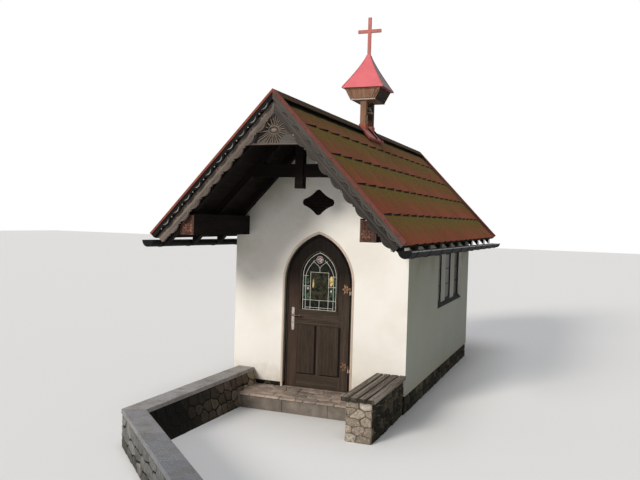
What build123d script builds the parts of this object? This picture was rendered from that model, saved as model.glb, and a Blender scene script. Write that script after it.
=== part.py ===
"""Small wayside chapel with a deep front gable, a ridge turret, a stone bench and a terrace parapet.

Millimetres, +Z up. X runs across the door front, the door faces -Y, and Z is zero on the ground.
The origin is the middle of the walls' plan, on the underside of the floor.
"""
from build123d import *
from math import atan2, cos, hypot, radians, sin, sqrt, tan
import os

os.makedirs("parts", exist_ok=True)

# Walls: rendered masonry on a rubble plinth
wall_width = 2300.0
wall_depth = 4200.0
wall_thickness = 300.0
sill_height = 180.0
plinth_height = 230.0
plinth_inset = 20.0

# Roof: two straight slopes, with depths counted square to the slope from the verge trim's top
ridge_height = 3663.0
eave_height = 2095.0
eave_half = 1487.0
front_overhang = 1460.0
rear_overhang = 966.0
cover_drop = 25.0
cover_thickness = 35.0
board_thickness = 22.0
cover_end_back = 12.0
rafter_depth = 80.0
rafter_width = 90.0
rafter_wall_gap = 5.0
rafter_verge_gap_front = 62.0
rafter_verge_gap_rear = 193.0
rafter_tail_back = 97.0
inner_rafters = 6
front_rafters = 3
rear_rafters = 2

# Purlin, wall plates and the small truss under the front overhang
ridge_purlin_width = 100.0
ridge_purlin_depth = 140.0
plate_width = 180.0
plate_flat_width = 70.0
plate_outer_height = 123.0
plate_end_back = 110.0
king_post_width = 100.0
king_post_depth = 100.0
king_post_tail = 130.0
collar_drop = 411.0
collar_depth = 150.0
collar_thickness = 60.0

# Verge: folded trim, a thin fretted board under it and the lobed bargeboard set back
trim_face = 24.0
trim_thickness = 8.0
trim_flange = 80.0
fret_thickness = 18.0
fret_valley = 72.0
fret_lobe_length = 146.0
fret_lobe_bulge = 25.0
fret_knob_length = 30.0
fret_knob_bulge = 15.0
barge_set_back = 50.0
barge_thickness = 28.0
barge_valley = 168.0
barge_lobe_length = 150.0
barge_lobe_bulge = 26.0
barge_knob_length = 22.0
barge_knob_bulge = 10.0
barge_end_back = 34.0
lobe_pitch_left = 191.0
lobe_pitch_right = 199.0
first_lobe_left = 194.0
first_lobe_right = 211.0
gable_board_height = 459.0
gable_board_thickness = 25.0
cap_width = 110.0
cap_thickness = 8.0
ridge_batten_width = 45.0

# Gutters on brackets at the rafters
gutter_inward = 5.0
gutter_radius = 72.0
gutter_wall = 6.0
gutter_drop = 75.0
gutter_fall = 62.0
gutter_past_verge = 30.0
bracket_thickness = 5.0
bracket_width = 28.0

# Doorway with a pointed head, its frame and leaf on shared arc centres
door_half = 450.0
door_spring = 1338.0
door_arc_shift = 191.0
frame_face_back = 45.0
frame_width = 32.0
frame_depth = 105.0
stop_width = 22.0
stop_gap = 6.0
door_gap = 8.0
leaf_back = 40.0
leaf_thickness = 50.0

# Door leaf: glazed head over two sunk panels
glass_half = 240.0
glass_bottom = 985.0
glass_spring = 1408.0
glass_arc_shift = 93.0
glass_rebate = 20.0
rebate_depth = 24.0
glass_thickness = 8.0
panel_half_gap = 38.0
panel_outer = 273.0
panel_bottom = 173.0
panel_top = 790.0
panel_sink = 16.0
ledge_bottom = 806.0
ledge_height = 24.0
ledge_out = 10.0

# Door furniture
lock_x = -342.0
lock_plate_bottom = 722.0
lock_plate_top = 1012.0
lock_plate_width = 36.0
lock_plate_thickness = 4.0
lever_height = 914.0
lever_length = 130.0
lever_stand_off = 46.0
lever_radius = 9.0
spindle_radius = 7.0
spindle_clearance = 0.5
hinge_heights = (293.0, 1254.0)
hinge_axis_out = 12.0
knuckle_radius = 9.0
knuckle_length = 44.0
knuckle_gap = 1.0
pin_radius = 5.0
pin_clearance = 0.3
pin_length = 38.0
strap_thickness = 5.0
strap_height = 26.0
strap_reach = 74.0
strap_lobe_radius = 19.0
strap_lobe_spread = 21.0

# Side windows: one shallow recess with three lights between masonry piers set back in it
light_count = 3
light_width = 420.0
light_pitch = 685.0
first_light = 1720.0
light_bottom = 930.0
light_top = 1680.0
light_sill_rise = 40.0
pier_back = 38.0
pane_back = 55.0
pane_thickness = 12.0

# Vent in the front gable, a square on its corner with hollow sides, a little left of the middle
vent_half_width = 210.0
vent_half_height = 159.0
vent_centre = 2341.0
vent_aside = -24.0
vent_hollow = 12.0
vent_tip = 40.0
vent_tip_rise = 20.0
vent_back = 8.0
vent_thickness = 30.0

# Ridge turret with its bell
turret_y = -310.0
post_offset = 170.0
post_size = 82.0
saddle_half_length = 345.0
saddle_reach = 235.0
saddle_thickness = 12.0
saddle_cap_gap = 1.0
post_height = 396.0
box_height = 165.0
box_bottom_half = 185.0
box_bottom_depth_half = 235.0
box_top_half = 271.0
box_top_depth_half = 255.0
box_wall = 20.0
spire_half = 305.0
spire_depth_half = 286.0
spire_rim = 16.0
spire_height = 502.0
spire_top_half = 25.0
spire_flare = 1.2
spire_steps = 5
cross_width = 46.0
cross_thickness = 34.0
cross_height = 545.0
cross_bar_drop = 199.0
cross_bar_half = 174.0
cross_bar_depth = 46.0
bell_axis_drop = 30.0
bell_lip_radius = 84.0
bell_flank = ((0.93, 0.1), (0.7, 0.42), (0.58, 0.86))
bell_top_share = 0.42
bell_height = 112.0
bell_wall = 7.0
bell_crown_radius = 14.0
bell_crown_height = 20.0
yoke_width = 36.0
yoke_above = 14.0
yoke_below = 20.0
yoke_length = 136.0
axle_radius = 8.0
axle_clearance = 0.4
axle_engagement = 16.0
clapper_rod_radius = 5.0
clapper_ball_radius = 13.0
clapper_above_lip = 20.0

# Doorstep and bench
step_top = 165.0
step_depth = 530.0
bench_left = 790.0
bench_right = 1165.0
bench_length = 1285.0
bench_top = 480.0
slat_count = 4
slat_thickness = 45.0
slat_gap = 12.0
slat_wall_gap = 6.0
bench_base_inset = 45.0
bench_base_set_back = 65.0

# Terrace parapet: one leg nearly square to the front, one leg turned towards the path, battered inside
parapet_x = -965.0
parapet_skew = 0.9
parapet_first_leg = 2340.0
parapet_second_leg = 2250.0
parapet_turn = 47.0
parapet_thickness = 200.0
parapet_batter = 105.0
coping_width = 225.0
coping_thickness = 45.0
parapet_top = 380.0

# Places worked out from the sizes above
wall_half = wall_width / 2
inner_half = wall_half - wall_thickness
front_y = -wall_depth / 2
back_y = wall_depth / 2
inner_front = front_y + wall_thickness
inner_back = back_y - wall_thickness
verge_front = front_y - front_overhang
verge_back = back_y + rear_overhang
pitch = atan2(ridge_height - eave_height, eave_half)
slope_length = hypot(ridge_height - eave_height, eave_half)
board_top = cover_drop + cover_thickness
board_under = board_top + board_thickness
rafter_under = board_under + rafter_depth
skin_back = trim_thickness + fret_thickness
skin_length = verge_back - verge_front - 2 * skin_back
barge_back = barge_set_back + barge_thickness
gutter_centre_x = eave_half - gutter_inward
rafter_tail_x = eave_half - rafter_tail_back
frame_inner = door_half - frame_width
leaf_half = frame_inner - door_gap
leaf_face = front_y + leaf_back
leaf_bottom = sill_height + door_gap
hinge_x = frame_inner
hinge_y = leaf_face - hinge_axis_out


def roof_point(along, depth):
    """Point in XZ at a distance down the right slope and a depth square to it."""
    x = along * cos(pitch) - depth * sin(pitch)
    z = ridge_height - along * sin(pitch) - depth * cos(pitch)
    return (x, z)


def roof_z(x, depth):
    """Height of the layer at this depth, above a place across the roof."""
    return ridge_height - depth / cos(pitch) - x * tan(pitch)


side_wall_top = roof_z(wall_half, rafter_under) - plate_outer_height


def roof_strip(top, under, end):
    """Outline in XZ of one layer of the right slope, from the middle plane to its end."""
    return [
        roof_point(top * tan(pitch), top),
        roof_point(end, top),
        roof_point(end, under),
        roof_point(under * tan(pitch), under),
    ]


def under_rafters(z):
    """Half width between the rafters' undersides at this height."""
    return (ridge_height - rafter_under / cos(pitch) - z) / tan(pitch)


def ridge_fold(top, under, reach):
    """Outline in XZ of a strip folded over the ridge."""
    right = [roof_point(top * tan(pitch), top), roof_point(reach, top), roof_point(reach, under)]
    inside = roof_point(under * tan(pitch), under)
    left = [(-x, z) for x, z in reversed(right[1:])]
    return right + [inside] + left


def xz_at(y):
    """Plane across the building; extruding from it runs towards the door side."""
    return Plane.XZ.offset(-y)


def pointed_arch(half, bottom, spring, arc_shift):
    """Draws a closed pointed arch in the current line context."""
    radius = half + arc_shift
    rise = sqrt(radius ** 2 - arc_shift ** 2)
    middle = atan2(rise, arc_shift) / 2
    shoulder = (radius * cos(middle) - arc_shift, spring + radius * sin(middle))
    Line((-half, bottom), (half, bottom))
    Line((half, bottom), (half, spring))
    ThreePointArc((half, spring), shoulder, (0, spring + rise))
    ThreePointArc((0, spring + rise), (-shoulder[0], shoulder[1]), (-half, spring))
    Line((-half, spring), (-half, bottom))


def arch_face(half, bottom, spring, arc_shift, mode=Mode.ADD):
    """Adds a pointed arch to the current sketch, or cuts it away."""
    with BuildLine() as border:
        pointed_arch(half, bottom, spring, arc_shift)
    make_face(border.edges(), mode=mode)


def outline(points, mode=Mode.ADD):
    """Adds a straight-sided outline to the current sketch, or cuts it away."""
    with BuildLine() as border:
        Polyline(*points, close=True)
    make_face(border.edges(), mode=mode)


# Plinth: one rubble ring under the walls, open at the doorway
inner_width = 2 * inner_half
inner_length = inner_back - inner_front
plinth_front = front_y + plinth_inset
sill_length = inner_front - plinth_front

with BuildPart() as plinth:
    with BuildSketch(Plane.XY):
        Rectangle(wall_width - 2 * plinth_inset, wall_depth - 2 * plinth_inset)
        Rectangle(inner_width, inner_length, mode=Mode.SUBTRACT)
        with Locations((0, inner_front - sill_length / 2)):
            Rectangle(2 * door_half, sill_length, mode=Mode.SUBTRACT)
    extrude(amount=plinth_height)

with BuildPart() as floor_slab:
    with BuildSketch(Plane.XY):
        Rectangle(inner_width, inner_length)
    extrude(amount=sill_height)

with BuildPart() as door_sill:
    with BuildSketch(Plane.XY):
        with Locations((0, inner_front - sill_length / 2)):
            Rectangle(2 * door_half, sill_length)
    extrude(amount=sill_height)

# Front wall: one piece each side of the doorway, and the gable with the vent above
arch_spring = sill_height + door_spring

with BuildPart() as front_wall_right:
    with BuildSketch(xz_at(front_y + wall_thickness)):
        outline([
            (0, plinth_height), (wall_half, plinth_height),
            (wall_half, side_wall_top), (0, side_wall_top),
        ])
        arch_face(door_half, 0, arch_spring, door_arc_shift, Mode.SUBTRACT)
    extrude(amount=wall_thickness)

with BuildPart() as front_wall_left:
    mirror(front_wall_right.part, about=Plane.YZ)

plate_inner = wall_half - plate_width
plate_slope_start = plate_inner + plate_flat_width
plate_flat_top = roof_z(plate_slope_start, rafter_under)
plate_outline = [
    (plate_inner, side_wall_top),
    (wall_half, side_wall_top),
    (wall_half, roof_z(wall_half, rafter_under)),
    (plate_slope_start, plate_flat_top),
    (plate_inner, plate_flat_top),
]
purlin_top = roof_z(ridge_purlin_width / 2, board_under)
purlin_bottom = purlin_top - ridge_purlin_depth


def gable_outline():
    """Gable from side wall height to the roof boards, notched over the wall plates."""
    right = [
        (plate_inner, side_wall_top),
        (plate_inner, plate_flat_top),
        (plate_slope_start, plate_flat_top),
        (wall_half, roof_z(wall_half, rafter_under)),
        (wall_half, roof_z(wall_half, board_under)),
        (ridge_purlin_width / 2, purlin_top),
        (ridge_purlin_width / 2, purlin_bottom),
    ]
    return right + [(-x, z) for x, z in reversed(right)]


vent_z = sill_height + vent_centre


def vent_face(mode=Mode.ADD):
    """Square on its corner, with rounded tips and slightly hollow sides."""
    centre = Vector(vent_aside, vent_z)
    tips = []
    for direction, reach in (
        (Vector(1, 0), vent_half_width), (Vector(0, 1), vent_half_height),
        (Vector(-1, 0), vent_half_width), (Vector(0, -1), vent_half_height),
    ):
        side = Vector(-direction.Y, direction.X) * vent_tip
        shoulder = direction * (reach - vent_tip_rise)
        tips.append((shoulder - side, direction * reach, shoulder + side))
    with BuildLine() as border:
        for number, (first, middle, last) in enumerate(tips):
            following = tips[(number + 1) % len(tips)][0]
            halfway = (last + following) / 2
            hollow = halfway - halfway.normalized() * vent_hollow
            ThreePointArc(centre + first, centre + middle, centre + last)
            ThreePointArc(centre + last, centre + hollow, centre + following)
    make_face(border.edges(), mode=mode)


with BuildPart() as front_gable:
    with BuildSketch(xz_at(front_y + wall_thickness)):
        outline(gable_outline())
        arch_face(door_half, 0, arch_spring, door_arc_shift, Mode.SUBTRACT)
        vent_face(Mode.SUBTRACT)
    extrude(amount=wall_thickness)

with BuildPart() as gable_vent:
    with BuildSketch(xz_at(front_y + vent_back + vent_thickness)):
        vent_face()
    extrude(amount=vent_thickness)

with BuildPart() as back_wall:
    with BuildSketch(xz_at(back_y)):
        outline(gable_outline())
        outline([
            (-wall_half, plinth_height), (wall_half, plinth_height),
            (wall_half, side_wall_top), (-wall_half, side_wall_top),
        ])
    extrude(amount=wall_thickness)

# Side walls with three lights each over one sloping sill, and their panes
light_middles = [front_y + first_light + light_width / 2 + n * light_pitch for n in range(light_count)]
recess_length = light_middles[-1] - light_middles[0] + light_width
recess_middle = (light_middles[-1] + light_middles[0]) / 2
light_height = light_top - light_bottom
light_middle_z = sill_height + (light_bottom + light_top) / 2
light_sill_z = sill_height + light_bottom

with BuildPart() as right_wall:
    with BuildSketch(Plane.YZ.offset(inner_half)):
        outline([
            (inner_front, plinth_height), (inner_back, plinth_height),
            (inner_back, side_wall_top), (inner_front, side_wall_top),
        ])
        with Locations(*[(y, light_middle_z) for y in light_middles]):
            Rectangle(light_width, light_height, mode=Mode.SUBTRACT)
    extrude(amount=wall_thickness)
    with BuildSketch(Plane.YZ.offset(wall_half - pier_back)):
        with Locations((recess_middle, light_middle_z)):
            Rectangle(recess_length, light_height)
    extrude(amount=pier_back, mode=Mode.SUBTRACT)
    with BuildSketch(xz_at(recess_middle + recess_length / 2)):
        outline([
            (wall_half - pane_back, light_sill_z), (wall_half, light_sill_z),
            (wall_half - pane_back, light_sill_z + light_sill_rise),
        ])
    extrude(amount=recess_length)

with BuildPart() as left_wall:
    mirror(right_wall.part, about=Plane.YZ)

with BuildPart() as window_panes_right:
    with BuildSketch(Plane.YZ.offset(wall_half - pane_back - pane_thickness)):
        with Locations(*[(y, light_middle_z) for y in light_middles]):
            Rectangle(light_width, light_height)
    extrude(amount=pane_thickness)

with BuildPart() as window_panes_left:
    mirror(window_panes_right.part, about=Plane.YZ)

# Roof timbers
with BuildPart() as wall_plate_right:
    with BuildSketch(xz_at(verge_back - plate_end_back)):
        outline(plate_outline)
    extrude(amount=verge_back - verge_front - 2 * plate_end_back)

with BuildPart() as wall_plate_left:
    mirror(wall_plate_right.part, about=Plane.YZ)

with BuildPart() as ridge_purlin:
    with BuildSketch(xz_at(verge_back - barge_back)):
        with Locations((0, (purlin_top + purlin_bottom) / 2)):
            Rectangle(ridge_purlin_width, ridge_purlin_depth)
    extrude(amount=verge_back - verge_front - 2 * barge_back - gable_board_thickness)

rafter_half = rafter_width / 2
first_front = front_y - rafter_wall_gap - rafter_half
last_front = verge_front + barge_back + gable_board_thickness + rafter_verge_gap_front + rafter_half
first_rear = back_y + rafter_wall_gap + rafter_half
last_rear = verge_back - barge_back - rafter_verge_gap_rear - rafter_half
inner_step = inner_length / inner_rafters


def evenly(start, end, count):
    """Places from the start to the end, both included."""
    return [start + (end - start) * n / (count - 1) for n in range(count)]


rafter_middles = evenly(first_front, last_front, front_rafters)
rafter_middles += evenly(inner_front + inner_step / 2, inner_back - inner_step / 2, inner_rafters)
rafter_middles += evenly(first_rear, last_rear, rear_rafters)
truss_y = rafter_middles[1]
purlin_side = ridge_purlin_width / 2

with BuildPart() as rafters_right:
    for middle in rafter_middles:
        with BuildSketch(xz_at(middle + rafter_half)):
            outline([
                (purlin_side, roof_z(purlin_side, board_under)),
                (rafter_tail_x, roof_z(rafter_tail_x, board_under)),
                (rafter_tail_x, roof_z(rafter_tail_x, rafter_under)),
                (purlin_side, roof_z(purlin_side, rafter_under)),
            ])
        extrude(amount=rafter_width)

with BuildPart() as rafters_left:
    mirror(rafters_right.part, about=Plane.YZ)

collar_top = purlin_bottom - collar_drop
collar_bottom = collar_top - collar_depth
king_post_bottom = collar_bottom - king_post_tail
collar_bottom_half = under_rafters(collar_bottom)
collar_top_half = under_rafters(collar_top)

with BuildPart() as porch_truss:
    with BuildSketch(xz_at(truss_y + collar_thickness / 2)):
        outline([
            (-collar_bottom_half, collar_bottom), (collar_bottom_half, collar_bottom),
            (collar_top_half, collar_top), (-collar_top_half, collar_top),
        ])
    extrude(amount=collar_thickness)
    with BuildSketch(xz_at(truss_y + king_post_depth / 2)):
        with Locations((0, (king_post_bottom + purlin_bottom) / 2)):
            Rectangle(king_post_width, purlin_bottom - king_post_bottom)
    extrude(amount=king_post_depth)

# Roof skins: boards, the pressed cover on them and the cap over the ridge
with BuildPart() as roof_boards_right:
    with BuildSketch(xz_at(verge_back - skin_back)):
        outline(roof_strip(board_top, board_under, slope_length - cover_end_back))
    extrude(amount=skin_length)

with BuildPart() as roof_boards_left:
    mirror(roof_boards_right.part, about=Plane.YZ)

with BuildPart() as roof_cover_right:
    with BuildSketch(xz_at(verge_back - skin_back)):
        outline(roof_strip(cover_drop, board_top, slope_length - cover_end_back))
    extrude(amount=skin_length)

with BuildPart() as roof_cover_left:
    mirror(roof_cover_right.part, about=Plane.YZ)

with BuildPart() as ridge_cap:
    with BuildSketch(xz_at(verge_back - trim_flange)):
        outline(ridge_fold(0, cap_thickness, cap_width))
        outline(ridge_fold(cap_thickness, cover_drop, ridge_batten_width))
    extrude(amount=verge_back - verge_front - 2 * trim_flange)


def verge_trim(face_y, inward):
    """Folded strip: a face over the verge, a flange on top and a lip down to the roof cover."""
    layers = [
        (0, trim_face, 0, trim_thickness),
        (0, trim_thickness, trim_thickness, trim_flange),
        (trim_thickness, cover_drop, trim_flange - trim_thickness, trim_flange),
    ]
    for top, under, start, end in layers:
        with BuildSketch(xz_at(max(face_y + inward * start, face_y + inward * end))) as layer:
            outline(ridge_fold(top, under, slope_length - cover_end_back))
        extrude(layer.sketch, amount=end - start)


with BuildPart() as verge_trim_front:
    verge_trim(verge_front, 1)

with BuildPart() as verge_trim_rear:
    verge_trim(verge_back, -1)


def lobed_board(top, valley, end, lobe, knob, first_lobe, lobe_pitch):
    """Sketches a board on the right slope; its lower edge is a row of lobes with knobs between."""
    count = int((end - first_lobe - (lobe_pitch + knob[0]) / 2) / lobe_pitch) + 1
    with BuildLine() as border:
        here = roof_point(valley * tan(pitch), valley)
        Line(roof_point(top * tan(pitch), top), here)
        for number in range(count):
            for steps, (length, bulge) in ((0, lobe), (0.5, knob)):
                middle = first_lobe + (number + steps) * lobe_pitch
                if middle - length / 2 < (valley + bulge) * tan(pitch):
                    continue
                arc = [
                    roof_point(middle - length / 2, valley),
                    roof_point(middle, valley + bulge),
                    roof_point(middle + length / 2, valley),
                ]
                Line(here, arc[0])
                ThreePointArc(*arc)
                here = arc[2]
        Line(here, roof_point(end, valley))
        Line(roof_point(end, valley), roof_point(end, top))
        Line(roof_point(end, top), roof_point(top * tan(pitch), top))
    make_face(border.edges())


def bargeboard(back, first_lobe, lobe_pitch):
    """Main board of the right slope, hung under the roof boards."""
    with BuildSketch(xz_at(back)) as board:
        lobed_board(board_under, barge_valley, slope_length - barge_end_back,
                    (barge_lobe_length, barge_lobe_bulge), (barge_knob_length, barge_knob_bulge),
                    first_lobe, lobe_pitch)
    extrude(board.sketch, amount=barge_thickness)


def verge_fret(back, first_lobe, lobe_pitch):
    """Thin board behind the trim's face, its lobes and knobs hanging clear below."""
    with BuildSketch(xz_at(back)) as board:
        lobed_board(trim_thickness, fret_valley, slope_length - cover_end_back,
                    (fret_lobe_length, fret_lobe_bulge), (fret_knob_length, fret_knob_bulge),
                    first_lobe, lobe_pitch)
    extrude(board.sketch, amount=fret_thickness)


with BuildPart() as bargeboard_front_right:
    bargeboard(verge_front + barge_back, first_lobe_right, lobe_pitch_right)

with BuildPart() as left_board:
    bargeboard(verge_front + barge_back, first_lobe_left, lobe_pitch_left)

with BuildPart() as bargeboard_front_left:
    mirror(left_board.part, about=Plane.YZ)

with BuildPart() as left_fret:
    verge_fret(verge_front + skin_back, first_lobe_left, lobe_pitch_left)

with BuildPart() as verge_fret_front:
    verge_fret(verge_front + skin_back, first_lobe_right, lobe_pitch_right)
    mirror(left_fret.part, about=Plane.YZ)

with BuildPart() as bargeboards_rear:
    bargeboard(verge_back - barge_set_back, first_lobe_right, lobe_pitch_right)
    verge_fret(verge_back - trim_thickness, first_lobe_right, lobe_pitch_right)
    mirror(about=Plane.YZ)

board_apex = roof_z(0, board_under)
board_half = gable_board_height / tan(pitch)
with BuildPart() as gable_board:
    with BuildSketch(xz_at(verge_front + barge_back + gable_board_thickness)):
        outline([
            (-board_half, board_apex - gable_board_height), (board_half, board_apex - gable_board_height),
            (0, board_apex),
        ])
    extrude(amount=gable_board_thickness)

# Gutters: half-round channels with end caps, carried by straps from the roof boards
gutter_start = verge_front - gutter_past_verge
gutter_end = verge_back + gutter_past_verge
gutter_slope = gutter_fall / (gutter_end - gutter_start)
strap_out = gutter_centre_x - gutter_radius
strap_in = strap_out - bracket_thickness


def gutter_top(y):
    """Height of the gutter's rim, which falls towards the back."""
    return eave_height - gutter_drop - gutter_slope * (y - gutter_start)


def half_disc(radius, top, mode=Mode.ADD):
    """Lower half of a disc about the gutter's line."""
    with BuildLine() as border:
        left = (gutter_centre_x - radius, top)
        right = (gutter_centre_x + radius, top)
        Line(right, left)
        ThreePointArc(left, (gutter_centre_x, top - radius), right)
    make_face(border.edges(), mode=mode)


def along_gutter(length, mode=Mode.ADD):
    """Extrudes the sketch forwards and up along the falling gutter."""
    extrude(amount=length * hypot(1, gutter_slope), dir=(0, -1, gutter_slope), mode=mode)


with BuildPart() as gutter_right:
    with BuildSketch(xz_at(gutter_end)):
        half_disc(gutter_radius, gutter_top(gutter_end))
    along_gutter(gutter_end - gutter_start)
    with BuildSketch(xz_at(gutter_end - gutter_wall)):
        half_disc(gutter_radius - gutter_wall, gutter_top(gutter_end - gutter_wall))
    along_gutter(gutter_end - gutter_start - 2 * gutter_wall, mode=Mode.SUBTRACT)
    for middle in rafter_middles:
        ring_back = middle + bracket_width / 2
        ring_top = gutter_top(ring_back)
        with BuildSketch(xz_at(ring_back)):
            half_disc(gutter_radius + bracket_thickness, ring_top)
            half_disc(gutter_radius - gutter_wall / 2, ring_top, Mode.SUBTRACT)
        along_gutter(bracket_width)
        with BuildSketch(xz_at(ring_back)):
            outline([
                (strap_in, ring_top - bracket_thickness), (strap_out, ring_top - bracket_thickness),
                (strap_out, roof_z(strap_out, board_under)), (strap_in, roof_z(strap_in, board_under)),
            ])
        extrude(amount=bracket_width)

with BuildPart() as gutter_left:
    mirror(gutter_right.part, about=Plane.YZ)

# Door frame, with the stop that the leaf closes against
stop_y = leaf_face + leaf_thickness + stop_gap
frame_back_y = front_y + frame_face_back + frame_depth

with BuildPart() as door_frame:
    with BuildSketch(xz_at(frame_back_y)):
        arch_face(door_half, sill_height, arch_spring, door_arc_shift)
        arch_face(frame_inner, sill_height, arch_spring, door_arc_shift, Mode.SUBTRACT)
    extrude(amount=frame_depth)
    with BuildSketch(xz_at(frame_back_y)):
        arch_face(frame_inner, sill_height, arch_spring, door_arc_shift)
        arch_face(frame_inner - stop_width, sill_height, arch_spring, door_arc_shift, Mode.SUBTRACT)
    extrude(amount=frame_back_y - stop_y)

# Door leaf
glass_low = sill_height + glass_bottom
glass_high = sill_height + glass_spring
rebate_half = glass_half + glass_rebate
lever_z = sill_height + lever_height
panel_width = panel_outer - panel_half_gap
panel_middle_x = (panel_outer + panel_half_gap) / 2
panel_height = panel_top - panel_bottom
panel_middle_z = sill_height + (panel_top + panel_bottom) / 2

with BuildPart() as door_leaf:
    with BuildSketch(xz_at(leaf_face + leaf_thickness)):
        arch_face(leaf_half, leaf_bottom, arch_spring, door_arc_shift)
        arch_face(glass_half, glass_low, glass_high, glass_arc_shift, Mode.SUBTRACT)
        with Locations((lock_x, lever_z)):
            Circle(spindle_radius + spindle_clearance, mode=Mode.SUBTRACT)
    extrude(amount=leaf_thickness)
    with BuildSketch(xz_at(leaf_face + rebate_depth)):
        arch_face(rebate_half, glass_low - glass_rebate, glass_high, glass_arc_shift)
    extrude(amount=rebate_depth, mode=Mode.SUBTRACT)
    for pocket_back in (leaf_face + panel_sink, leaf_face + leaf_thickness):
        with BuildSketch(xz_at(pocket_back)):
            with Locations((-panel_middle_x, panel_middle_z), (panel_middle_x, panel_middle_z)):
                Rectangle(panel_width, panel_height)
        extrude(amount=panel_sink, mode=Mode.SUBTRACT)
    with BuildSketch(xz_at(leaf_face)):
        with Locations((0, sill_height + ledge_bottom + ledge_height / 2)):
            Rectangle(2 * panel_outer, ledge_height)
    extrude(amount=ledge_out)

with BuildPart() as door_glass:
    with BuildSketch(xz_at(leaf_face + rebate_depth)):
        arch_face(rebate_half, glass_low - glass_rebate, glass_high, glass_arc_shift)
    extrude(amount=glass_thickness)

# Door furniture: a long plate and a lever on each face, joined by one spindle
lock_plate_middle = sill_height + (lock_plate_bottom + lock_plate_top) / 2

with BuildPart() as lock_plates:
    for back in (leaf_face, leaf_face + leaf_thickness + lock_plate_thickness):
        with BuildSketch(xz_at(back)):
            with Locations((lock_x, lock_plate_middle)):
                SlotOverall(lock_plate_top - lock_plate_bottom, lock_plate_width, rotation=90)
            with Locations((lock_x, lever_z)):
                Circle(spindle_radius + spindle_clearance, mode=Mode.SUBTRACT)
        extrude(amount=lock_plate_thickness)

lever_out = leaf_face - lever_stand_off
lever_in = leaf_face + leaf_thickness + lever_stand_off

with BuildPart() as door_lever:
    with BuildSketch(xz_at(lever_in)):
        with Locations((lock_x, lever_z)):
            Circle(spindle_radius)
    extrude(amount=lever_in - lever_out)
    with BuildSketch(Plane.YZ.offset(lock_x - lever_radius)):
        with Locations((lever_out, lever_z), (lever_in, lever_z)):
            Circle(lever_radius)
    extrude(amount=lever_length)


def hinge_height(level):
    """Height of the joint between a hinge's two knuckles."""
    return sill_height + level


with BuildPart() as hinge_straps:
    for level in hinge_heights:
        low = hinge_height(level) + knuckle_gap / 2
        middle = low + knuckle_length / 2
        strap_end = hinge_x - strap_reach
        with BuildSketch(Plane.XY.offset(low)):
            with Locations((hinge_x, hinge_y)):
                Circle(knuckle_radius)
            with Locations((hinge_x - knuckle_radius / 2, hinge_y + hinge_axis_out / 2)):
                Rectangle(knuckle_radius, hinge_axis_out)
            with Locations((hinge_x, hinge_y)):
                Circle(pin_radius + pin_clearance, mode=Mode.SUBTRACT)
        extrude(amount=knuckle_length)
        with BuildSketch(xz_at(leaf_face)):
            with Locations(((strap_end + hinge_x - knuckle_radius) / 2, middle)):
                Rectangle(hinge_x - knuckle_radius - strap_end, strap_height)
            with Locations((strap_end, middle), (strap_end + strap_lobe_spread, middle - strap_lobe_spread),
                           (strap_end + strap_lobe_spread, middle + strap_lobe_spread)):
                Circle(strap_lobe_radius)
        extrude(amount=strap_thickness)

with BuildPart() as hinge_brackets:
    for level in hinge_heights:
        top = hinge_height(level) - knuckle_gap / 2
        frame_face = front_y + frame_face_back
        with BuildSketch(Plane.XY.offset(top - knuckle_length)):
            with Locations((hinge_x, hinge_y)):
                Circle(knuckle_radius)
            outline([
                (hinge_x, hinge_y), (hinge_x + knuckle_radius, hinge_y),
                (hinge_x + knuckle_radius, frame_face - strap_thickness),
                (hinge_x + frame_width - strap_thickness, frame_face - strap_thickness),
                (hinge_x + frame_width - strap_thickness, frame_face), (hinge_x, frame_face),
            ])
        extrude(amount=knuckle_length)
        with BuildSketch(Plane.XY.offset(top)):
            with Locations((hinge_x, hinge_y)):
                Circle(pin_radius)
        extrude(amount=pin_length)

# Ridge turret: flashing saddle, two posts, a flared box, a hollow-sided spire and the cross
with BuildPart() as turret_saddle:
    with BuildSketch(xz_at(turret_y + saddle_half_length)):
        outline(ridge_fold(-saddle_thickness, 0, saddle_reach))
        skirt = [
            roof_point(cap_width + saddle_cap_gap, 0), roof_point(saddle_reach, 0),
            roof_point(saddle_reach, cover_drop), roof_point(cap_width + saddle_cap_gap, cover_drop),
        ]
        outline(skirt)
        outline([(-x, z) for x, z in skirt])
    extrude(amount=2 * saddle_half_length)

box_bottom = ridge_height + post_height
box_top = box_bottom + box_height
bell_axis_height = box_bottom - bell_axis_drop
post_half = post_size / 2
post_ys = (turret_y - post_offset, turret_y + post_offset)
axle_reach = post_offset - post_half + axle_engagement

with BuildPart() as turret_posts:
    for middle in post_ys:
        with BuildSketch(xz_at(middle + post_half)):
            outline([
                (-post_half, roof_z(post_half, -saddle_thickness)), (0, roof_z(0, -saddle_thickness)),
                (post_half, roof_z(post_half, -saddle_thickness)), (post_half, box_bottom),
                (-post_half, box_bottom),
            ])
        extrude(amount=post_size)
    with BuildSketch(xz_at(turret_y + axle_reach)):
        with Locations((0, bell_axis_height)):
            Circle(axle_radius + axle_clearance)
    extrude(amount=2 * axle_reach, mode=Mode.SUBTRACT)

floor_share = box_wall / box_height
box_floor_half = box_bottom_half + (box_top_half - box_bottom_half) * floor_share
box_floor_depth_half = box_bottom_depth_half + (box_top_depth_half - box_bottom_depth_half) * floor_share

with BuildPart() as turret_box:
    for across, along, height in (
        (box_bottom_half, box_bottom_depth_half, box_bottom), (box_top_half, box_top_depth_half, box_top),
    ):
        with BuildSketch(Plane.XY.offset(height)):
            with Locations((0, turret_y)):
                Rectangle(2 * across, 2 * along)
    loft()
    for across, along, height in (
        (box_floor_half - box_wall, box_floor_depth_half - box_wall, box_bottom + box_wall),
        (box_top_half - box_wall, box_top_depth_half - box_wall, box_top),
    ):
        with BuildSketch(Plane.XY.offset(height)):
            with Locations((0, turret_y)):
                Rectangle(2 * across, 2 * along)
    loft(mode=Mode.SUBTRACT)

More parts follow.
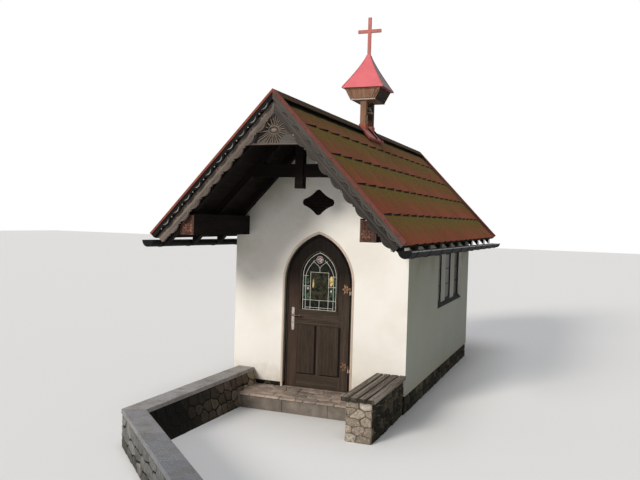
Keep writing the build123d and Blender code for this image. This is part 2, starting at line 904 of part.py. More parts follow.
spire_base = box_top + spire_rim
spire_top = spire_base + spire_height

with BuildPart() as turret_spire:
    with BuildSketch(Plane.XY.offset(box_top)):
        with Locations((0, turret_y)):
            Rectangle(2 * spire_half, 2 * spire_depth_half)
    extrude(amount=spire_rim)
    for step in range(spire_steps + 1):
        share = step / spire_steps
        flare = (1 - share) ** spire_flare
        across = spire_top_half + (spire_half - spire_top_half) * flare
        along = spire_top_half + (spire_depth_half - spire_top_half) * flare
        with BuildSketch(Plane.XY.offset(spire_base + share * spire_height)):
            with Locations((0, turret_y)):
                Rectangle(2 * across, 2 * along)
    loft(ruled=True)

with BuildPart() as roof_cross:
    with BuildSketch(xz_at(turret_y + cross_thickness / 2)):
        with Locations((0, spire_top + cross_height / 2)):
            Rectangle(cross_width, cross_height)
        with Locations((0, spire_top + cross_height - cross_bar_drop)):
            Rectangle(2 * cross_bar_half, cross_bar_depth)
    extrude(amount=cross_thickness)

# Bell, its headstock on an axle between the posts, and the clapper
bell_shoulder = bell_axis_height - yoke_below - bell_crown_height
bell_lip = bell_shoulder - bell_height
bell_plane = Plane(origin=(0, turret_y, bell_lip), x_dir=(1, 0, 0), z_dir=(0, -1, 0))


def bell_section(inset):
    """Half section of the bell from its lip to its shoulder, thinner by the inset."""
    lip = bell_lip_radius - inset
    top = bell_height - inset
    flank = [(across * lip, up * top) for across, up in bell_flank]
    Polyline((0, 0), (lip, 0), flank[0])
    Spline(*flank)
    Polyline(flank[-1], (bell_top_share * lip, top), (0, top), (0, 0))


with BuildPart() as bell:
    with BuildSketch(bell_plane):
        with BuildLine():
            bell_section(0)
        make_face()
        with BuildLine():
            bell_section(bell_wall)
        make_face(mode=Mode.SUBTRACT)
    revolve(axis=Axis((0, turret_y, 0), (0, 0, 1)))
    with BuildSketch(Plane.XY.offset(bell_shoulder)):
        with Locations((0, turret_y)):
            Circle(bell_crown_radius)
    extrude(amount=bell_crown_height)

with BuildPart() as bell_yoke:
    with BuildSketch(xz_at(turret_y + yoke_length / 2)):
        with Locations((0, bell_axis_height + (yoke_above - yoke_below) / 2)):
            Rectangle(yoke_width, yoke_above + yoke_below)
    extrude(amount=yoke_length)
    with BuildSketch(xz_at(turret_y + axle_reach - axle_clearance)):
        with Locations((0, bell_axis_height)):
            Circle(axle_radius)
    extrude(amount=2 * (axle_reach - axle_clearance))

clapper_ball_z = bell_lip + clapper_above_lip
clapper_top = bell_shoulder - bell_wall

with BuildPart() as bell_clapper:
    with BuildSketch(Plane.XY.offset(clapper_ball_z)):
        with Locations((0, turret_y)):
            Circle(clapper_rod_radius)
    extrude(amount=clapper_top - clapper_ball_z)
    with Locations((0, turret_y, clapper_ball_z)):
        Sphere(clapper_ball_radius)

# Terrace parapet
skew = radians(parapet_skew)
turn = radians(parapet_turn)


def leg_direction(angle):
    """Direction in plan of a leg turned by this angle from straight forwards."""
    return Vector(sin(angle), -cos(angle))


def leg_outward(angle):
    """Direction in plan square to a leg, away from the terrace."""
    return Vector(-cos(angle), -sin(angle))


parapet_corner = Vector(parapet_x, front_y) + leg_direction(-skew) * parapet_first_leg
parapet_end = parapet_corner + leg_direction(turn) * parapet_second_leg
parapet_wall_top = parapet_top - coping_thickness


def parapet_outline(outer, inner):
    """Plan of the two parapet legs with a mitred corner, from their middle line to each side."""
    lines = []
    for reach in (outer, -inner):
        mitre = leg_outward((turn - skew) / 2) * (reach / cos((turn + skew) / 2))
        start = Vector(parapet_x - reach / cos(skew), front_y)
        lines.append([start, parapet_corner + mitre, parapet_end + leg_outward(turn) * reach])
    return [(corner.X, corner.Y) for corner in lines[0] + lines[1][::-1]]


parapet_half = parapet_thickness / 2
with BuildPart() as parapet_wall:
    for inner, height in ((parapet_half + parapet_batter, 0), (parapet_half, parapet_wall_top)):
        with BuildSketch(Plane.XY.offset(height)):
            outline(parapet_outline(parapet_half, inner))
    loft(ruled=True)

with BuildPart() as parapet_coping:
    with BuildSketch(Plane.XY.offset(parapet_wall_top)):
        outline(parapet_outline(coping_width / 2, coping_width / 2))
    extrude(amount=coping_thickness)

# Doorstep between the parapet's slanting inner face and the bench, and the bench beside the door
base_left = bench_left + bench_base_inset
base_right = bench_right - bench_base_inset
base_length = bench_length - bench_base_set_back
step_front = front_y - step_depth


def parapet_face(y, z):
    """Where the parapet's inner face stands at this height, beside the doorstep."""
    reach = parapet_half + parapet_batter * (1 - z / parapet_wall_top)
    return parapet_x + reach / cos(skew) + (y - front_y) * tan(skew)


with BuildPart() as doorstep:
    for height in (0, step_top):
        with BuildSketch(Plane.XY.offset(height)):
            outline([
                (parapet_face(step_front, height), step_front), (base_left, step_front),
                (base_left, plinth_front), (parapet_face(plinth_front, height), plinth_front),
            ])
    loft(ruled=True)

with BuildPart() as bench_base:
    with BuildSketch(Plane.XY):
        outline([
            (base_left, front_y - base_length), (base_right, front_y - base_length),
            (base_right, front_y), (base_left, front_y),
        ])
    extrude(amount=bench_top - slat_thickness)

slat_width = (bench_right - bench_left - (slat_count - 1) * slat_gap) / slat_count
slat_length = bench_length - slat_wall_gap

with BuildPart() as bench_slats:
    with BuildSketch(Plane.XY.offset(bench_top - slat_thickness)):
        for number in range(slat_count):
            slat_x = bench_left + slat_width / 2 + number * (slat_width + slat_gap)
            with Locations((slat_x, front_y - slat_wall_gap - slat_length / 2)):
                Rectangle(slat_width, slat_length)
    extrude(amount=slat_thickness)

pieces = {
    "plinth": plinth, "floor_slab": floor_slab, "door_sill": door_sill, "doorstep": doorstep,
    "front_wall_left": front_wall_left, "front_wall_right": front_wall_right,
    "front_gable": front_gable, "gable_vent": gable_vent, "back_wall": back_wall,
    "left_wall": left_wall, "right_wall": right_wall,
    "window_panes_left": window_panes_left, "window_panes_right": window_panes_right,
    "wall_plate_left": wall_plate_left, "wall_plate_right": wall_plate_right,
    "ridge_purlin": ridge_purlin, "rafters_left": rafters_left, "rafters_right": rafters_right,
    "porch_truss": porch_truss, "roof_boards_left": roof_boards_left,
    "roof_boards_right": roof_boards_right, "roof_cover_left": roof_cover_left,
    "roof_cover_right": roof_cover_right, "ridge_cap": ridge_cap,
    "verge_trim_front": verge_trim_front, "verge_trim_rear": verge_trim_rear,
    "verge_fret_front": verge_fret_front, "bargeboard_front_left": bargeboard_front_left,
    "bargeboard_front_right": bargeboard_front_right, "bargeboards_rear": bargeboards_rear,
    "gable_board": gable_board, "gutter_left": gutter_left, "gutter_right": gutter_right,
    "door_frame": door_frame, "hinge_brackets": hinge_brackets, "door_leaf": door_leaf,
    "door_glass": door_glass, "lock_plates": lock_plates, "hinge_straps": hinge_straps,
    "door_lever": door_lever, "turret_saddle": turret_saddle, "turret_posts": turret_posts,
    "turret_box": turret_box, "turret_spire": turret_spire, "roof_cross": roof_cross,
    "bell": bell, "bell_yoke": bell_yoke, "bell_clapper": bell_clapper,
    "bench_base": bench_base, "bench_slats": bench_slats,
    "parapet_wall": parapet_wall, "parapet_coping": parapet_coping,
}
for name, piece in pieces.items():
    piece.part.label = name
    export_step(piece.part, f"parts/{name}.step")
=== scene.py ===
import random
from math import atan2, cos, hypot, pi, radians, sin, sqrt, tan

import bmesh
import bpy
from mathutils import Matrix, Vector, noise


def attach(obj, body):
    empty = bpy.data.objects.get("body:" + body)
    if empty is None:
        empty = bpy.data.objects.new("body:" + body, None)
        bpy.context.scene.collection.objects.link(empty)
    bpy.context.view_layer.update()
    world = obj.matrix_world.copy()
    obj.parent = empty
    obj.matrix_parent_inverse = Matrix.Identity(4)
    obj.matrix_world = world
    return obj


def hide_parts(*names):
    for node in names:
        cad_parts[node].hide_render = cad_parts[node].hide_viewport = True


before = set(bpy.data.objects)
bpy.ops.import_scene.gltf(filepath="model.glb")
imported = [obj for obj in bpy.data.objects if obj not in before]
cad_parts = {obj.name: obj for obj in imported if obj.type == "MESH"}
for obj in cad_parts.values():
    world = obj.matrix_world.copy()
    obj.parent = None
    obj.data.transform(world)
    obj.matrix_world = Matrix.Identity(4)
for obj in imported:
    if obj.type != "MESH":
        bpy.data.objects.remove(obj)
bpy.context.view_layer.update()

bl_info = {
    "name": "Wayside Chapel Dressing",
    "version": (1, 0, 0),
    "blender": (4, 5, 0),
    "location": "View3D > Sidebar > Chapel",
    "description": "Dresses the packed chapel with stones, tiles, carving, leading and finishes",
    "category": "Object",
}

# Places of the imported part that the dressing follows, in metres
RIDGE_Z, EAVE_Z, EAVE_HALF = 3.663, 2.095, 1.487
PITCH = atan2(RIDGE_Z - EAVE_Z, EAVE_HALF)
SLOPE_LENGTH = hypot(RIDGE_Z - EAVE_Z, EAVE_HALF)
FRONT_Y = -2.1
VERGE_FRONT = -3.56
COVER_DEPTH = 0.025
TURRET_Y = -0.31
LEAF_FACE = -2.06
GLASS_FACE = -2.044
# the doorway's arch and the light's arch: spring height, and shift of the arc's centre past the middle
DOOR_SPRING, DOOR_SHIFT = 1.518, 0.191
LIGHT_SPRING, LIGHT_SHIFT = 1.590, 0.093
# first lobe and pitch of the front bargeboards down the left (-1) and right (1) slope
FRONT_LOBES = {-1: (0.194, 0.191), 1: (0.211, 0.199)}
SIDES = ((-1, "left"), (1, "right"))
UP = Vector((0, 0, 1))
# edges that turn more than this stay sharp
SHARP_ANGLE = radians(35)


def colour(text):
    """Linear colour of an sRGB hex value."""
    parts = [int(text[place:place + 2], 16) / 255 for place in (1, 3, 5)]
    return (*[s / 12.92 if s <= 0.04045 else ((s + 0.055) / 1.055) ** 2.4 for s in parts], 1.0)


def add_node(tree, kind, inputs=None, output=0, **settings):
    """Adds a node, a shader node where the kind has no prefix, with its settings and links.

    An input is given a value or an output. What comes back is one output, or the node if output is None."""
    node = tree.nodes.new(kind if "Node" in kind else "ShaderNode" + kind)
    for name, value in settings.items():
        setattr(node, name, value)
    for name, value in (inputs or {}).items():
        if isinstance(value, bpy.types.NodeSocket):
            tree.links.new(value, node.inputs[name])
        else:
            node.inputs[name].default_value = value
    return node if output is None else node.outputs[output]


# Shapes

class Shape:
    """Closed bodies gathered as points and faces; each has a tone, and a place in the material list."""

    def __init__(self):
        self.points, self.faces, self.tones, self.slots = [], [], [], []

    def add(self, points, faces, tone=0.5, slot=0):
        start = len(self.points)
        self.points += [tuple(point) for point in points]
        self.faces += [tuple(start + corner for corner in face) for face in faces]
        self.tones += [tone] * len(faces)
        self.slots += [slot] * len(faces)

    def rings(self, rings, tone=0.5, slot=0, around=False):
        """Body through loops of equal count; it closes on itself, or ends in flat caps."""
        count, last = len(rings[0]), len(rings) - 1
        faces = []
        for low, high in [(n, n + 1) for n in range(last)] + ([(last, 0)] if around else []):
            for n in range(count):
                after = (n + 1) % count
                faces.append((low * count + n, low * count + after, high * count + after, high * count + n))
        if not around:
            faces += [tuple(range(count))[::-1], tuple(last * count + n for n in range(count))]
        self.add([point for ring in rings for point in ring], faces, tone, slot)

    def prism(self, outline, place, low, high, chamfer, tone=0.5, slot=0):
        """Slab between two heights over a flat outline, with chamfered arrises on its high side."""
        levels = (outline, low), (outline, high - chamfer), (inset(outline, chamfer), high)
        self.rings([[place(u, v, height) for u, v in ring] for ring, height in levels], tone, slot)

    def strip(self, path, profile, place, closed=False, tone=0.5, slot=0):
        """Moulding of a closed profile, given as across and out, along a flat path with mitred turns."""
        # mitres of sharper turns are cut short: the least cosine of half a turn
        count, sharpest = len(path), 0.35
        rings = []
        for n, (u, v) in enumerate(path):
            before = path[n - 1] if n or closed else None
            after = path[(n + 1) % count] if n < count - 1 or closed else None
            ways = [Vector((end[0] - start[0], end[1] - start[1])).normalized()
                    for start, end in ((before, (u, v)), ((u, v), after)) if start and end]
            way = sum(ways, Vector((0, 0))).normalized()
            side = Vector((-way.y, way.x))
            stretch = 1 / max(sharpest, abs(way.dot(ways[0])))
            rings.append([place(u + side.x * a * stretch, v + side.y * a * stretch, w) for a, w in profile])
        self.rings(rings, tone, slot, around=closed)

    def tube(self, path, radii, sides=8):
        """Round bar along points in space, with a radius at each."""
        points = [Vector(point) for point in path]
        rings = []
        reference = Vector((0.12, 0.31, 0.94))
        for n, point in enumerate(points):
            way = (points[min(n + 1, len(points) - 1)] - points[max(n - 1, 0)]).normalized()
            across = (reference - way * reference.dot(way)).normalized()
            reference = across
            up = way.cross(across)
            rings.append([point + (across * cos(t) + up * sin(t)) * radii[n] for t in full_turn(sides)])
        self.rings(rings)

    def lathe(self, profile, place, sides):
        """Turned body: the profile gives radius and height, and starts and ends on the axis."""
        points = [place(0, 0, profile[0][1])]
        for radius, height in profile[1:-1]:
            points += [place(radius * cos(t), radius * sin(t), height) for t in full_turn(sides)]
        points.append(place(0, 0, profile[-1][1]))
        faces = []
        last = 1 + (len(profile) - 3) * sides
        for k in range(sides):
            after = (k + 1) % sides
            faces.append((0, 1 + after, 1 + k))
            for low in range(1, last, sides):
                faces.append((low + k, low + after, low + sides + after, low + sides + k))
            faces.append((last + k, last + after, len(points) - 1))
        self.add(points, faces)


def shares(steps):
    """Equal steps from 0 to 1."""
    return [n / steps for n in range(steps + 1)]


def full_turn(count):
    """Angles of equal steps round a circle."""
    return [2 * pi * n / count for n in range(count)]


def edges(outline):
    """Pairs of neighbouring points round a closed outline."""
    return zip(outline, outline[1:] + outline[:1])


def double_area(outline):
    """Twice the area, positive where the outline runs anticlockwise."""
    return sum(a[0] * b[1] - b[0] * a[1] for a, b in edges(outline))


def between(here, after, share):
    """Point that lies a share of the way from one point to another."""
    return here[0] + (after[0] - here[0]) * share, here[1] + (after[1] - here[1]) * share


def middle_of(outline):
    """Mean of the points."""
    return sum(p[0] for p in outline) / len(outline), sum(p[1] for p in outline) / len(outline)


def turned(a, b, turn, about=(0, 0)):
    """Point a along a direction and b to its left, from a centre."""
    return about[0] + cos(turn) * a - sin(turn) * b, about[1] + sin(turn) * a + cos(turn) * b


def inset(outline, distance):
    """Outline drawn in by a distance, with mitred corners."""
    # mitres of sharper turns are cut short: the least cosine of half a turn
    sharpest = 0.4
    sign = 1 if double_area(outline) > 0 else -1
    moved = []
    for before, (here, after) in zip(outline[-1:] + outline[:-1], edges(outline)):
        first = Vector((here[0] - before[0], here[1] - before[1])).normalized()
        second = Vector((after[0] - here[0], after[1] - here[1])).normalized()
        one, two = Vector((-first.y, first.x)), Vector((-second.y, second.x))
        middle = (one + two).normalized()
        reach = sign * distance / max(sharpest, middle.dot(one))
        moved.append((here[0] + middle.x * reach, here[1] + middle.y * reach))
    return moved


def facing(origin, across, up):
    """Place function: across and up lie in the face, and out is square to it."""
    origin, across, up = Vector(origin), Vector(across), Vector(up)
    out = across.cross(up)
    return lambda u, v, w: origin + across * u + up * v + out * w


def upright(x, y, z=0.0, across=(1, 0, 0)):
    """Place function of an upright face, which looks forwards unless across says otherwise."""
    return facing((x, y, z), across, UP)


def level(x, y, z):
    """Place function of a level face that looks up."""
    return facing((x, y, z), (1, 0, 0), (0, 1, 0))


def slope(side):
    """Directions down the left (-1) or right (1) slope, and square out of it."""
    return Vector((side * cos(PITCH), 0, -sin(PITCH))), Vector((side * sin(PITCH), 0, cos(PITCH)))


def verge(side, face_y):
    """Place on a board of the front gable: distance down the slope, depth under the roof's top, and out."""
    down, out = slope(side)
    top = Vector((0, face_y, RIDGE_Z))
    return lambda s, d, w: top + down * s - out * d + Vector((0, -w, 0))


def rectangle(low_u, low_v, high_u, high_v):
    """Outline of a rectangle from its lowest and highest corner."""
    return [(low_u, low_v), (high_u, low_v), (high_u, high_v), (low_u, high_v)]


def arc(centre, radius, start, end, steps):
    """Points of an arc between two angles in radians."""
    turns = [start + (end - start) * n / steps for n in range(steps + 1)]
    return [(centre[0] + radius * cos(t), centre[1] + radius * sin(t)) for t in turns]


def circle(centre, radius, count):
    """Closed outline of a circle."""
    return arc(centre, radius, 0, 2 * pi * (count - 1) / count, count - 1)


def oval(centre, long, wide, count, turn=0.0, away=0.0):
    """Oval that lies away from a centre, pointing outwards from it."""
    return [turned(away + long * cos(t), wide * sin(t), turn, centre) for t in full_turn(count)]


def arch_path(half, bottom, spring, arc_shift, steps=14):
    """Pointed arch from its left foot over the tip to its right foot."""
    radius = half + arc_shift
    rise = atan2(sqrt(radius ** 2 - arc_shift ** 2), arc_shift)
    right = arc((-arc_shift, spring), radius, 0, rise, steps)
    left = [(-u, v) for u, v in right]
    return [(-half, bottom)] + left + right[::-1][1:] + [(half, bottom)]


def arch_half(v, half, spring, arc_shift):
    """Half width of a pointed arch at a height."""
    if v < spring:
        return half
    return max(0.0, sqrt(max(0.0, (half + arc_shift) ** 2 - (v - spring) ** 2)) - arc_shift)


def came(width, height):
    """Closed low profile with bevelled shoulders."""
    half = width / 2
    return [(half, 0), (half, height * 0.4), (half * 0.5, height), (-half * 0.5, height),
            (-half, height * 0.4), (-half, 0)]


def mesh_of(name, shape):
    """Plain mesh of a shape, with its faces pointing out."""
    mesh = bpy.data.meshes.new(name)
    mesh.from_pydata(shape.points, [], shape.faces)
    build = bmesh.new()
    build.from_mesh(mesh)
    bmesh.ops.recalc_face_normals(build, faces=build.faces)
    build.to_mesh(mesh)
    build.free()
    return mesh


def finish_piece(name, shape, finishes, body, replaces=()):
    """Turns a shape into a plain piece in the frame, its tones stored, riding on its body."""
    mesh = mesh_of(name, shape)
    tones = mesh.attributes.new("tone", "FLOAT", "FACE")
    tones.data.foreach_set("value", shape.tones)
    mesh.polygons.foreach_set("material_index", shape.slots)
    place_piece(name, mesh, finishes, body, replaces)


def place_piece(name, mesh, finishes, body, replaces=()):
    mesh.name = name
    if len(mesh.materials):
        mesh.materials.clear()
    for key in finishes.split():
        mesh.materials.append(finish(key))
    mesh.shade_smooth()
    mesh.set_sharp_from_angle(angle=SHARP_ANGLE)
    piece = bpy.data.objects.new(name, mesh)
    bpy.context.scene.collection.objects.link(piece)
    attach(piece, body)
    if replaces:
        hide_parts(*replaces)


def dress(key, *nodes):
    """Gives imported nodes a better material."""
    for node in nodes:
        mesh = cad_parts[node].data
        mesh.materials.clear()
        mesh.materials.append(finish(key))


# Repeats, made by one Geometry Nodes tree

def repeat_tree():
    """Grid of copies in columns and rows, each copy with its own tone, slight turn and shift."""
    tree = bpy.data.node_groups.get("grid_of_copies")
    if tree:
        return tree
    tree = bpy.data.node_groups.new("grid_of_copies", "GeometryNodeTree")
    face = tree.interface
    face.new_socket("Geometry", in_out="INPUT", socket_type="NodeSocketGeometry")
    for name, kind in (("Columns", "Int"), ("Rows", "Int"), ("Start", "Vector"), ("Column Step", "Vector"),
                       ("Row Step", "Vector"), ("Turn", "Vector"), ("Shift", "Vector"), ("Seed", "Int"),
                       ("Finish", "Material")):
        face.new_socket(name, in_out="INPUT", socket_type="NodeSocket" + kind)
    face.new_socket("Geometry", in_out="OUTPUT", socket_type="NodeSocketGeometry")

    def add(kind, inputs=None, output=0, **settings):
        return add_node(tree, kind, inputs, output, **settings)

    given = add("NodeGroupInput", output=None).outputs
    index = add("GeometryNodeInputIndex")
    total = add("Math", {0: given["Columns"], 1: given["Rows"]}, operation="MULTIPLY")
    column = add("Math", {0: index, 1: given["Columns"]}, operation="MODULO")
    row = add("Math", {0: index, 1: given["Columns"]}, operation="DIVIDE")
    row = add("Math", {0: row}, operation="FLOOR")
    place = given["Start"]
    for step, count in ((given["Column Step"], column), (given["Row Step"], row)):
        move = add("VectorMath", {0: step, "Scale": count}, operation="SCALE")
        place = add("VectorMath", {0: place, 1: move}, operation="ADD")
    drawn = []
    for place_in_seed, key in enumerate(("Turn", "Shift")):
        lowest = add("VectorMath", {0: given[key], "Scale": -1.0}, operation="SCALE")
        seed = add("Math", {0: given["Seed"], 1: place_in_seed}, operation="ADD")
        drawn.append(add("FunctionNodeRandomValue", {0: lowest, 1: given[key], 7: index, 8: seed},
                         data_type="FLOAT_VECTOR"))
    turn, shift = drawn
    place = add("VectorMath", {0: place, 1: shift}, operation="ADD")
    points = add("GeometryNodePoints", {"Count": total, "Position": place})
    copies = add("GeometryNodeInstanceOnPoints",
                 {"Points": points, "Instance": given["Geometry"], "Rotation": turn})
    tone = add("FunctionNodeRandomValue", {7: index, 8: given["Seed"]}, 1, data_type="FLOAT")
    toned = add("GeometryNodeStoreNamedAttribute", {"Geometry": copies, "Name": "tone", "Value": tone},
                data_type="FLOAT", domain="INSTANCE")
    real = add("GeometryNodeRealizeInstances", {"Geometry": toned})
    finished = add("GeometryNodeSetMaterial", {"Geometry": real, "Material": given["Finish"]})
    add("NodeGroupOutput", {"Geometry": finished}, None)
    return tree


def repeat(shape, key, start, columns, column_step, rows=1, row_step=(0, 0, 0),
           turn=(0, 0, 0), shift=(0, 0, 0), seed=1, layer=None):
    """Plain mesh of a shape repeated by the tree; the shape is drawn about the origin."""
    mesh = mesh_of("single", shape)
    if layer:
        uv = mesh.uv_layers.new(name="course")
        for loop in mesh.loops:
            uv.data[loop.index].uv = layer[loop.vertex_index]
    single = bpy.data.objects.new("single", mesh)
    bpy.context.scene.collection.objects.link(single)
    modifier = single.modifiers.new("repeat", "NODES")
    modifier.node_group = tree = repeat_tree()
    keys = {item.name: item.identifier for item in tree.interface.items_tree if item.in_out == "INPUT"}
    for name, value in (("Columns", columns), ("Rows", rows), ("Start", tuple(start)),
                        ("Column Step", tuple(column_step)), ("Row Step", tuple(row_step)), ("Turn", turn),
                        ("Shift", shift), ("Seed", seed), ("Finish", finish(key))):
        modifier[keys[name]] = value
    depsgraph = bpy.context.evaluated_depsgraph_get()
    result = bpy.data.meshes.new_from_object(single.evaluated_get(depsgraph))
    single.modifiers.remove(modifier)
    bpy.data.objects.remove(single)
    return result


# Sizes and colours that a user would change

def metres(label, text, value, **limits):
    """Length property with its default in metres."""
    return bpy.props.FloatProperty(name=label, description=text, default=value, unit="LENGTH", **limits)


def tint(label, text, value):
    """Colour property with its sRGB default."""
    return bpy.props.FloatVectorProperty(
        name=label, description=text, subtype="COLOR", size=4, min=0, max=1, default=colour(value))


class ChapelSizes(bpy.types.PropertyGroup):
    """Sizes of the dressing."""
    plinth_stone: metres("Plinth stone", "Usual length of a plinth stone", 0.17, min=0.05)
    parapet_stone: metres("Parapet stone", "Usual length of a parapet stone", 0.25, min=0.08)
    bench_stone: metres("Bench stone", "Usual length of a stone under the bench", 0.15, min=0.08)
    stone_joint: metres("Stone joint", "Width of the mortar joints", 0.008, min=0.002)
    flag_size: metres("Flag size", "Usual length of a flagstone on the doorstep", 0.19, min=0.1)
    course_depth: metres("Course depth", "Visible length of a tile course down the slope", 0.436)
    tile_length: metres("Tile length", "Length of a roof tile along the ridge", 0.378, min=0.1)
    tile_lift: metres("Tile lift", "Height of a tile's raised lower edge", 0.02, max=0.022)
    lead_width: metres("Lead width", "Width of the leading in the door's light", 0.0052)
    seed: bpy.props.IntProperty(name="Seed", description="Seed of all irregular shapes", default=7, min=1)


class ChapelColours(bpy.types.PropertyGroup):
    """Colours of the dressing."""
    plaster: tint("Plaster", "Lime plaster of the walls", "#f2eee7")
    sandstone: tint("Sandstone", "Stones under the bench", "#bfb09f")
    granite: tint("Granite", "Coping of the parapet", "#a0a3a8")
    flag: tint("Flagstone", "Flagstones of the doorstep", "#b3a396")
    tile: tint("Tile", "Clay colour of the roof tiles", "#86402b")
    moss: tint("Moss", "Moss on the roof and stones", "#5f5619")
    verge: tint("Verge sheet", "Painted sheet on the verges", "#864a3c")
    spire: tint("Spire sheet", "Painted sheet of the spire", "#cb595f")
    dark_wood: tint("Dark timber", "Stained roof timbers", "#1b1614")
    grey_wood: tint("Grey timber", "Weathered boards", "#77706a")
    turret_wood: tint("Turret timber", "Boards of the bell turret", "#937059")
    door_wood: tint("Door timber", "Oiled timber of the door", "#483d34")
    door_red: tint("Door stiles", "Reddish stiles of the door", "#4a3a31")
    band: tint("Door band", "Painted band round the door", "#d3c0b0")
    lead: tint("Leading", "Painted cames of the door's light", "#f1eee6")
    gutter: tint("Gutter", "Coated gutter sheet", "#0e0f0f")


# Finishes

class Finish:
    """A material in the making: its nodes, its shader and Object coordinates."""

    def __init__(self, name, roughness, metallic=0.0, specular=None):
        self.material = bpy.data.materials.new(name)
        self.material.use_nodes = True
        self.tree = self.material.node_tree
        self.tree.nodes.clear()
        # matt stone and timber barely shine, so their specular level is low
        if specular is None:
            specular = 0.1 if roughness > 0.55 else 0.5
        self.shader = self.add("BsdfPrincipled", {
            "Roughness": roughness, "Metallic": metallic, "Specular IOR Level": specular}, None)
        self.add("OutputMaterial", {"Surface": self.shader.outputs[0]}, None)
        self.place = self.add("TexCoord", output="Object")

    def add(self, kind, inputs=None, output=0, **settings):
        return add_node(self.tree, kind, inputs, output, **settings)

    def normal(self, axis):
        """Share of the face's direction along an axis."""
        return self.add("SeparateXYZ", {0: self.add("NewGeometry", output="Normal")}, axis)

    def laid(self, base, over, source, low=0.0, high=1.0, most=1.0):
        """Base colour with another laid over it as the source goes from low to high."""
        share = self.add("MapRange", {0: source, 1: low, 2: high, 4: most})
        return self.add("Mix", {0: share, 6: base, 7: over}, 2, data_type="RGBA")

    def toned(self, base, source, low, high, least, most):
        """Base colour multiplied by a share that goes from least to most as the source does."""
        share = self.add("MapRange", {0: source, 1: low, 2: high, 3: least, 4: most})
        return self.add("Mix", {0: 1.0, 6: base, 7: share}, 2, data_type="RGBA", blend_type="MULTIPLY")

    def darkened_along(self, base, place, axis, start, end, low):
        """Base colour that darkens along an axis, from one place to another."""
        return self.toned(base, self.add("SeparateXYZ", {0: place}, axis), start, end, 1.0, low)

    def made(self, base, height, distance, roughness=None):
        """The material with its colour, its bump of a real height in metres, and its roughness."""
        bump = self.add("Bump", {"Height": height, "Distance": distance, "Strength": 1.0})
        for name, value in (("Base Color", base), ("Normal", bump), ("Roughness", roughness)):
            if value is not None:
                self.tree.links.new(value, self.shader.inputs[name])
        return self.material


def shade(tone, factor):
    """Lighter or darker colour of the same hue."""
    return (*[min(1.0, share * factor) for share in tone[:3]], 1.0)


def paint(text):
    """Linear colour of an sRGB hex value, or one of the user's colours with a factor after a star."""
    if text[0] == "#":
        return colour(text)
    key, _, factor = text.partition("*")
    return shade(getattr(bpy.context.scene.chapel_colours, key), float(factor or 1))


def stone_finish(name, main, warm, pale, grain, patch, roughness=0.92, depth=0.002, moss=None, moss_share=0.0,
                 damp=0.0):
    """Natural stone: each block its own tone, cloudy patches, grain, moss on top, damp near the foot."""
    f = Finish(name, roughness)
    tone = f.add("Attribute", output="Fac", attribute_name="tone")
    cloud = f.add("TexNoise", {"Vector": f.place, "Scale": 1 / patch, "Detail": 5.0})
    fine = f.add("TexNoise", {"Vector": f.place, "Scale": 1 / grain, "Detail": 3.0})
    base = f.laid(main, warm, tone, 0.1, 0.6)
    base = f.laid(base, pale, tone, 0.6, 1.0, 0.8)
    base = f.toned(base, cloud, 0.35, 0.7, 0.72, 1.2)
    base = f.toned(base, fine, 0.3, 0.7, 0.8, 1.16)
    if moss:
        # cushions of moss 0.11 m wide
        patchy = f.add("TexNoise", {"Vector": f.place, "Scale": 9.0, "Detail": 7.0})
        grown = f.add("Math", {0: f.normal(2), 1: 0.16, 2: patchy}, operation="MULTIPLY_ADD")
        base = f.laid(base, paint(moss), grown, 0.66, 0.8, moss_share)
    if damp:
        height = f.add("SeparateXYZ", {0: f.place}, 2)
        low = f.add("Math", {0: cloud, 1: 0.22, 2: height}, operation="MULTIPLY_ADD")
        base = f.laid(base, colour("#3a342c"), low, 0.3, 0.05, damp)
    relief = f.add("Math", {0: fine, 1: 0.35, 2: cloud}, operation="MULTIPLY_ADD")
    return f.made(base, relief, depth * 4)


def timber_finish(name, main, dark, pale, turn=(0, 0, 0), mirrored=False, roughness=0.78, board=0.0,
                  wear=0.35, depth=0.0008, right=None, fade=None):
    """Sawn timber: fibres along the board, its own tone per board, dark grain lines and bleached patches."""
    f = Finish(name, roughness)
    place = f.place
    parts = [f.add("SeparateXYZ", {0: place}, axis) for axis in range(3)]
    # painted light and shade: faces at x > 0 take another colour
    if right:
        east = f.add("Math", {0: parts[0], 1: 0.0}, operation="GREATER_THAN")
        main, dark, pale = [f.laid(left, shade(paint(right), factor), east)
                            for left, factor in ((main, 1.0), (dark, 0.45), (pale, 1.5))]
    if mirrored:
        aside = f.add("Math", {0: parts[0]}, operation="ABSOLUTE")
        place = f.add("CombineXYZ", {0: aside, 1: parts[1], 2: parts[2]})
    # fibres drawn 6 mm apart so that they show, 26 times as long, and bleached patches six times as wide
    fibre = f.add("Mapping", {"Vector": place, "Rotation": turn, "Scale": (0.006, 0.006, 0.006 * 26)},
                  vector_type="TEXTURE")
    lines = f.add("TexNoise", {"Vector": fibre, "Scale": 1.0, "Detail": 6.0, "Roughness": 0.62,
                               "Distortion": 0.3})
    broad = f.add("TexNoise", {"Vector": fibre, "Scale": 0.16, "Detail": 3.0})
    base = f.laid(dark, main, lines, 0.36, 0.62)
    base = f.laid(base, pale, broad, 0.46, 0.68, wear)
    if board:
        tone = f.add("Attribute", output="Fac", attribute_name="tone")
        base = f.toned(base, tone, 0.0, 1.0, 1 - board, 1 + board)
    # darkening along an axis: painted shade at the door's head, on the frame, the turret's posts and the
    # right bargeboard, and the stain of the slats' cut ends
    if fade:
        base = f.darkened_along(base, place, *fade)
    return f.made(base, lines, depth * 3)


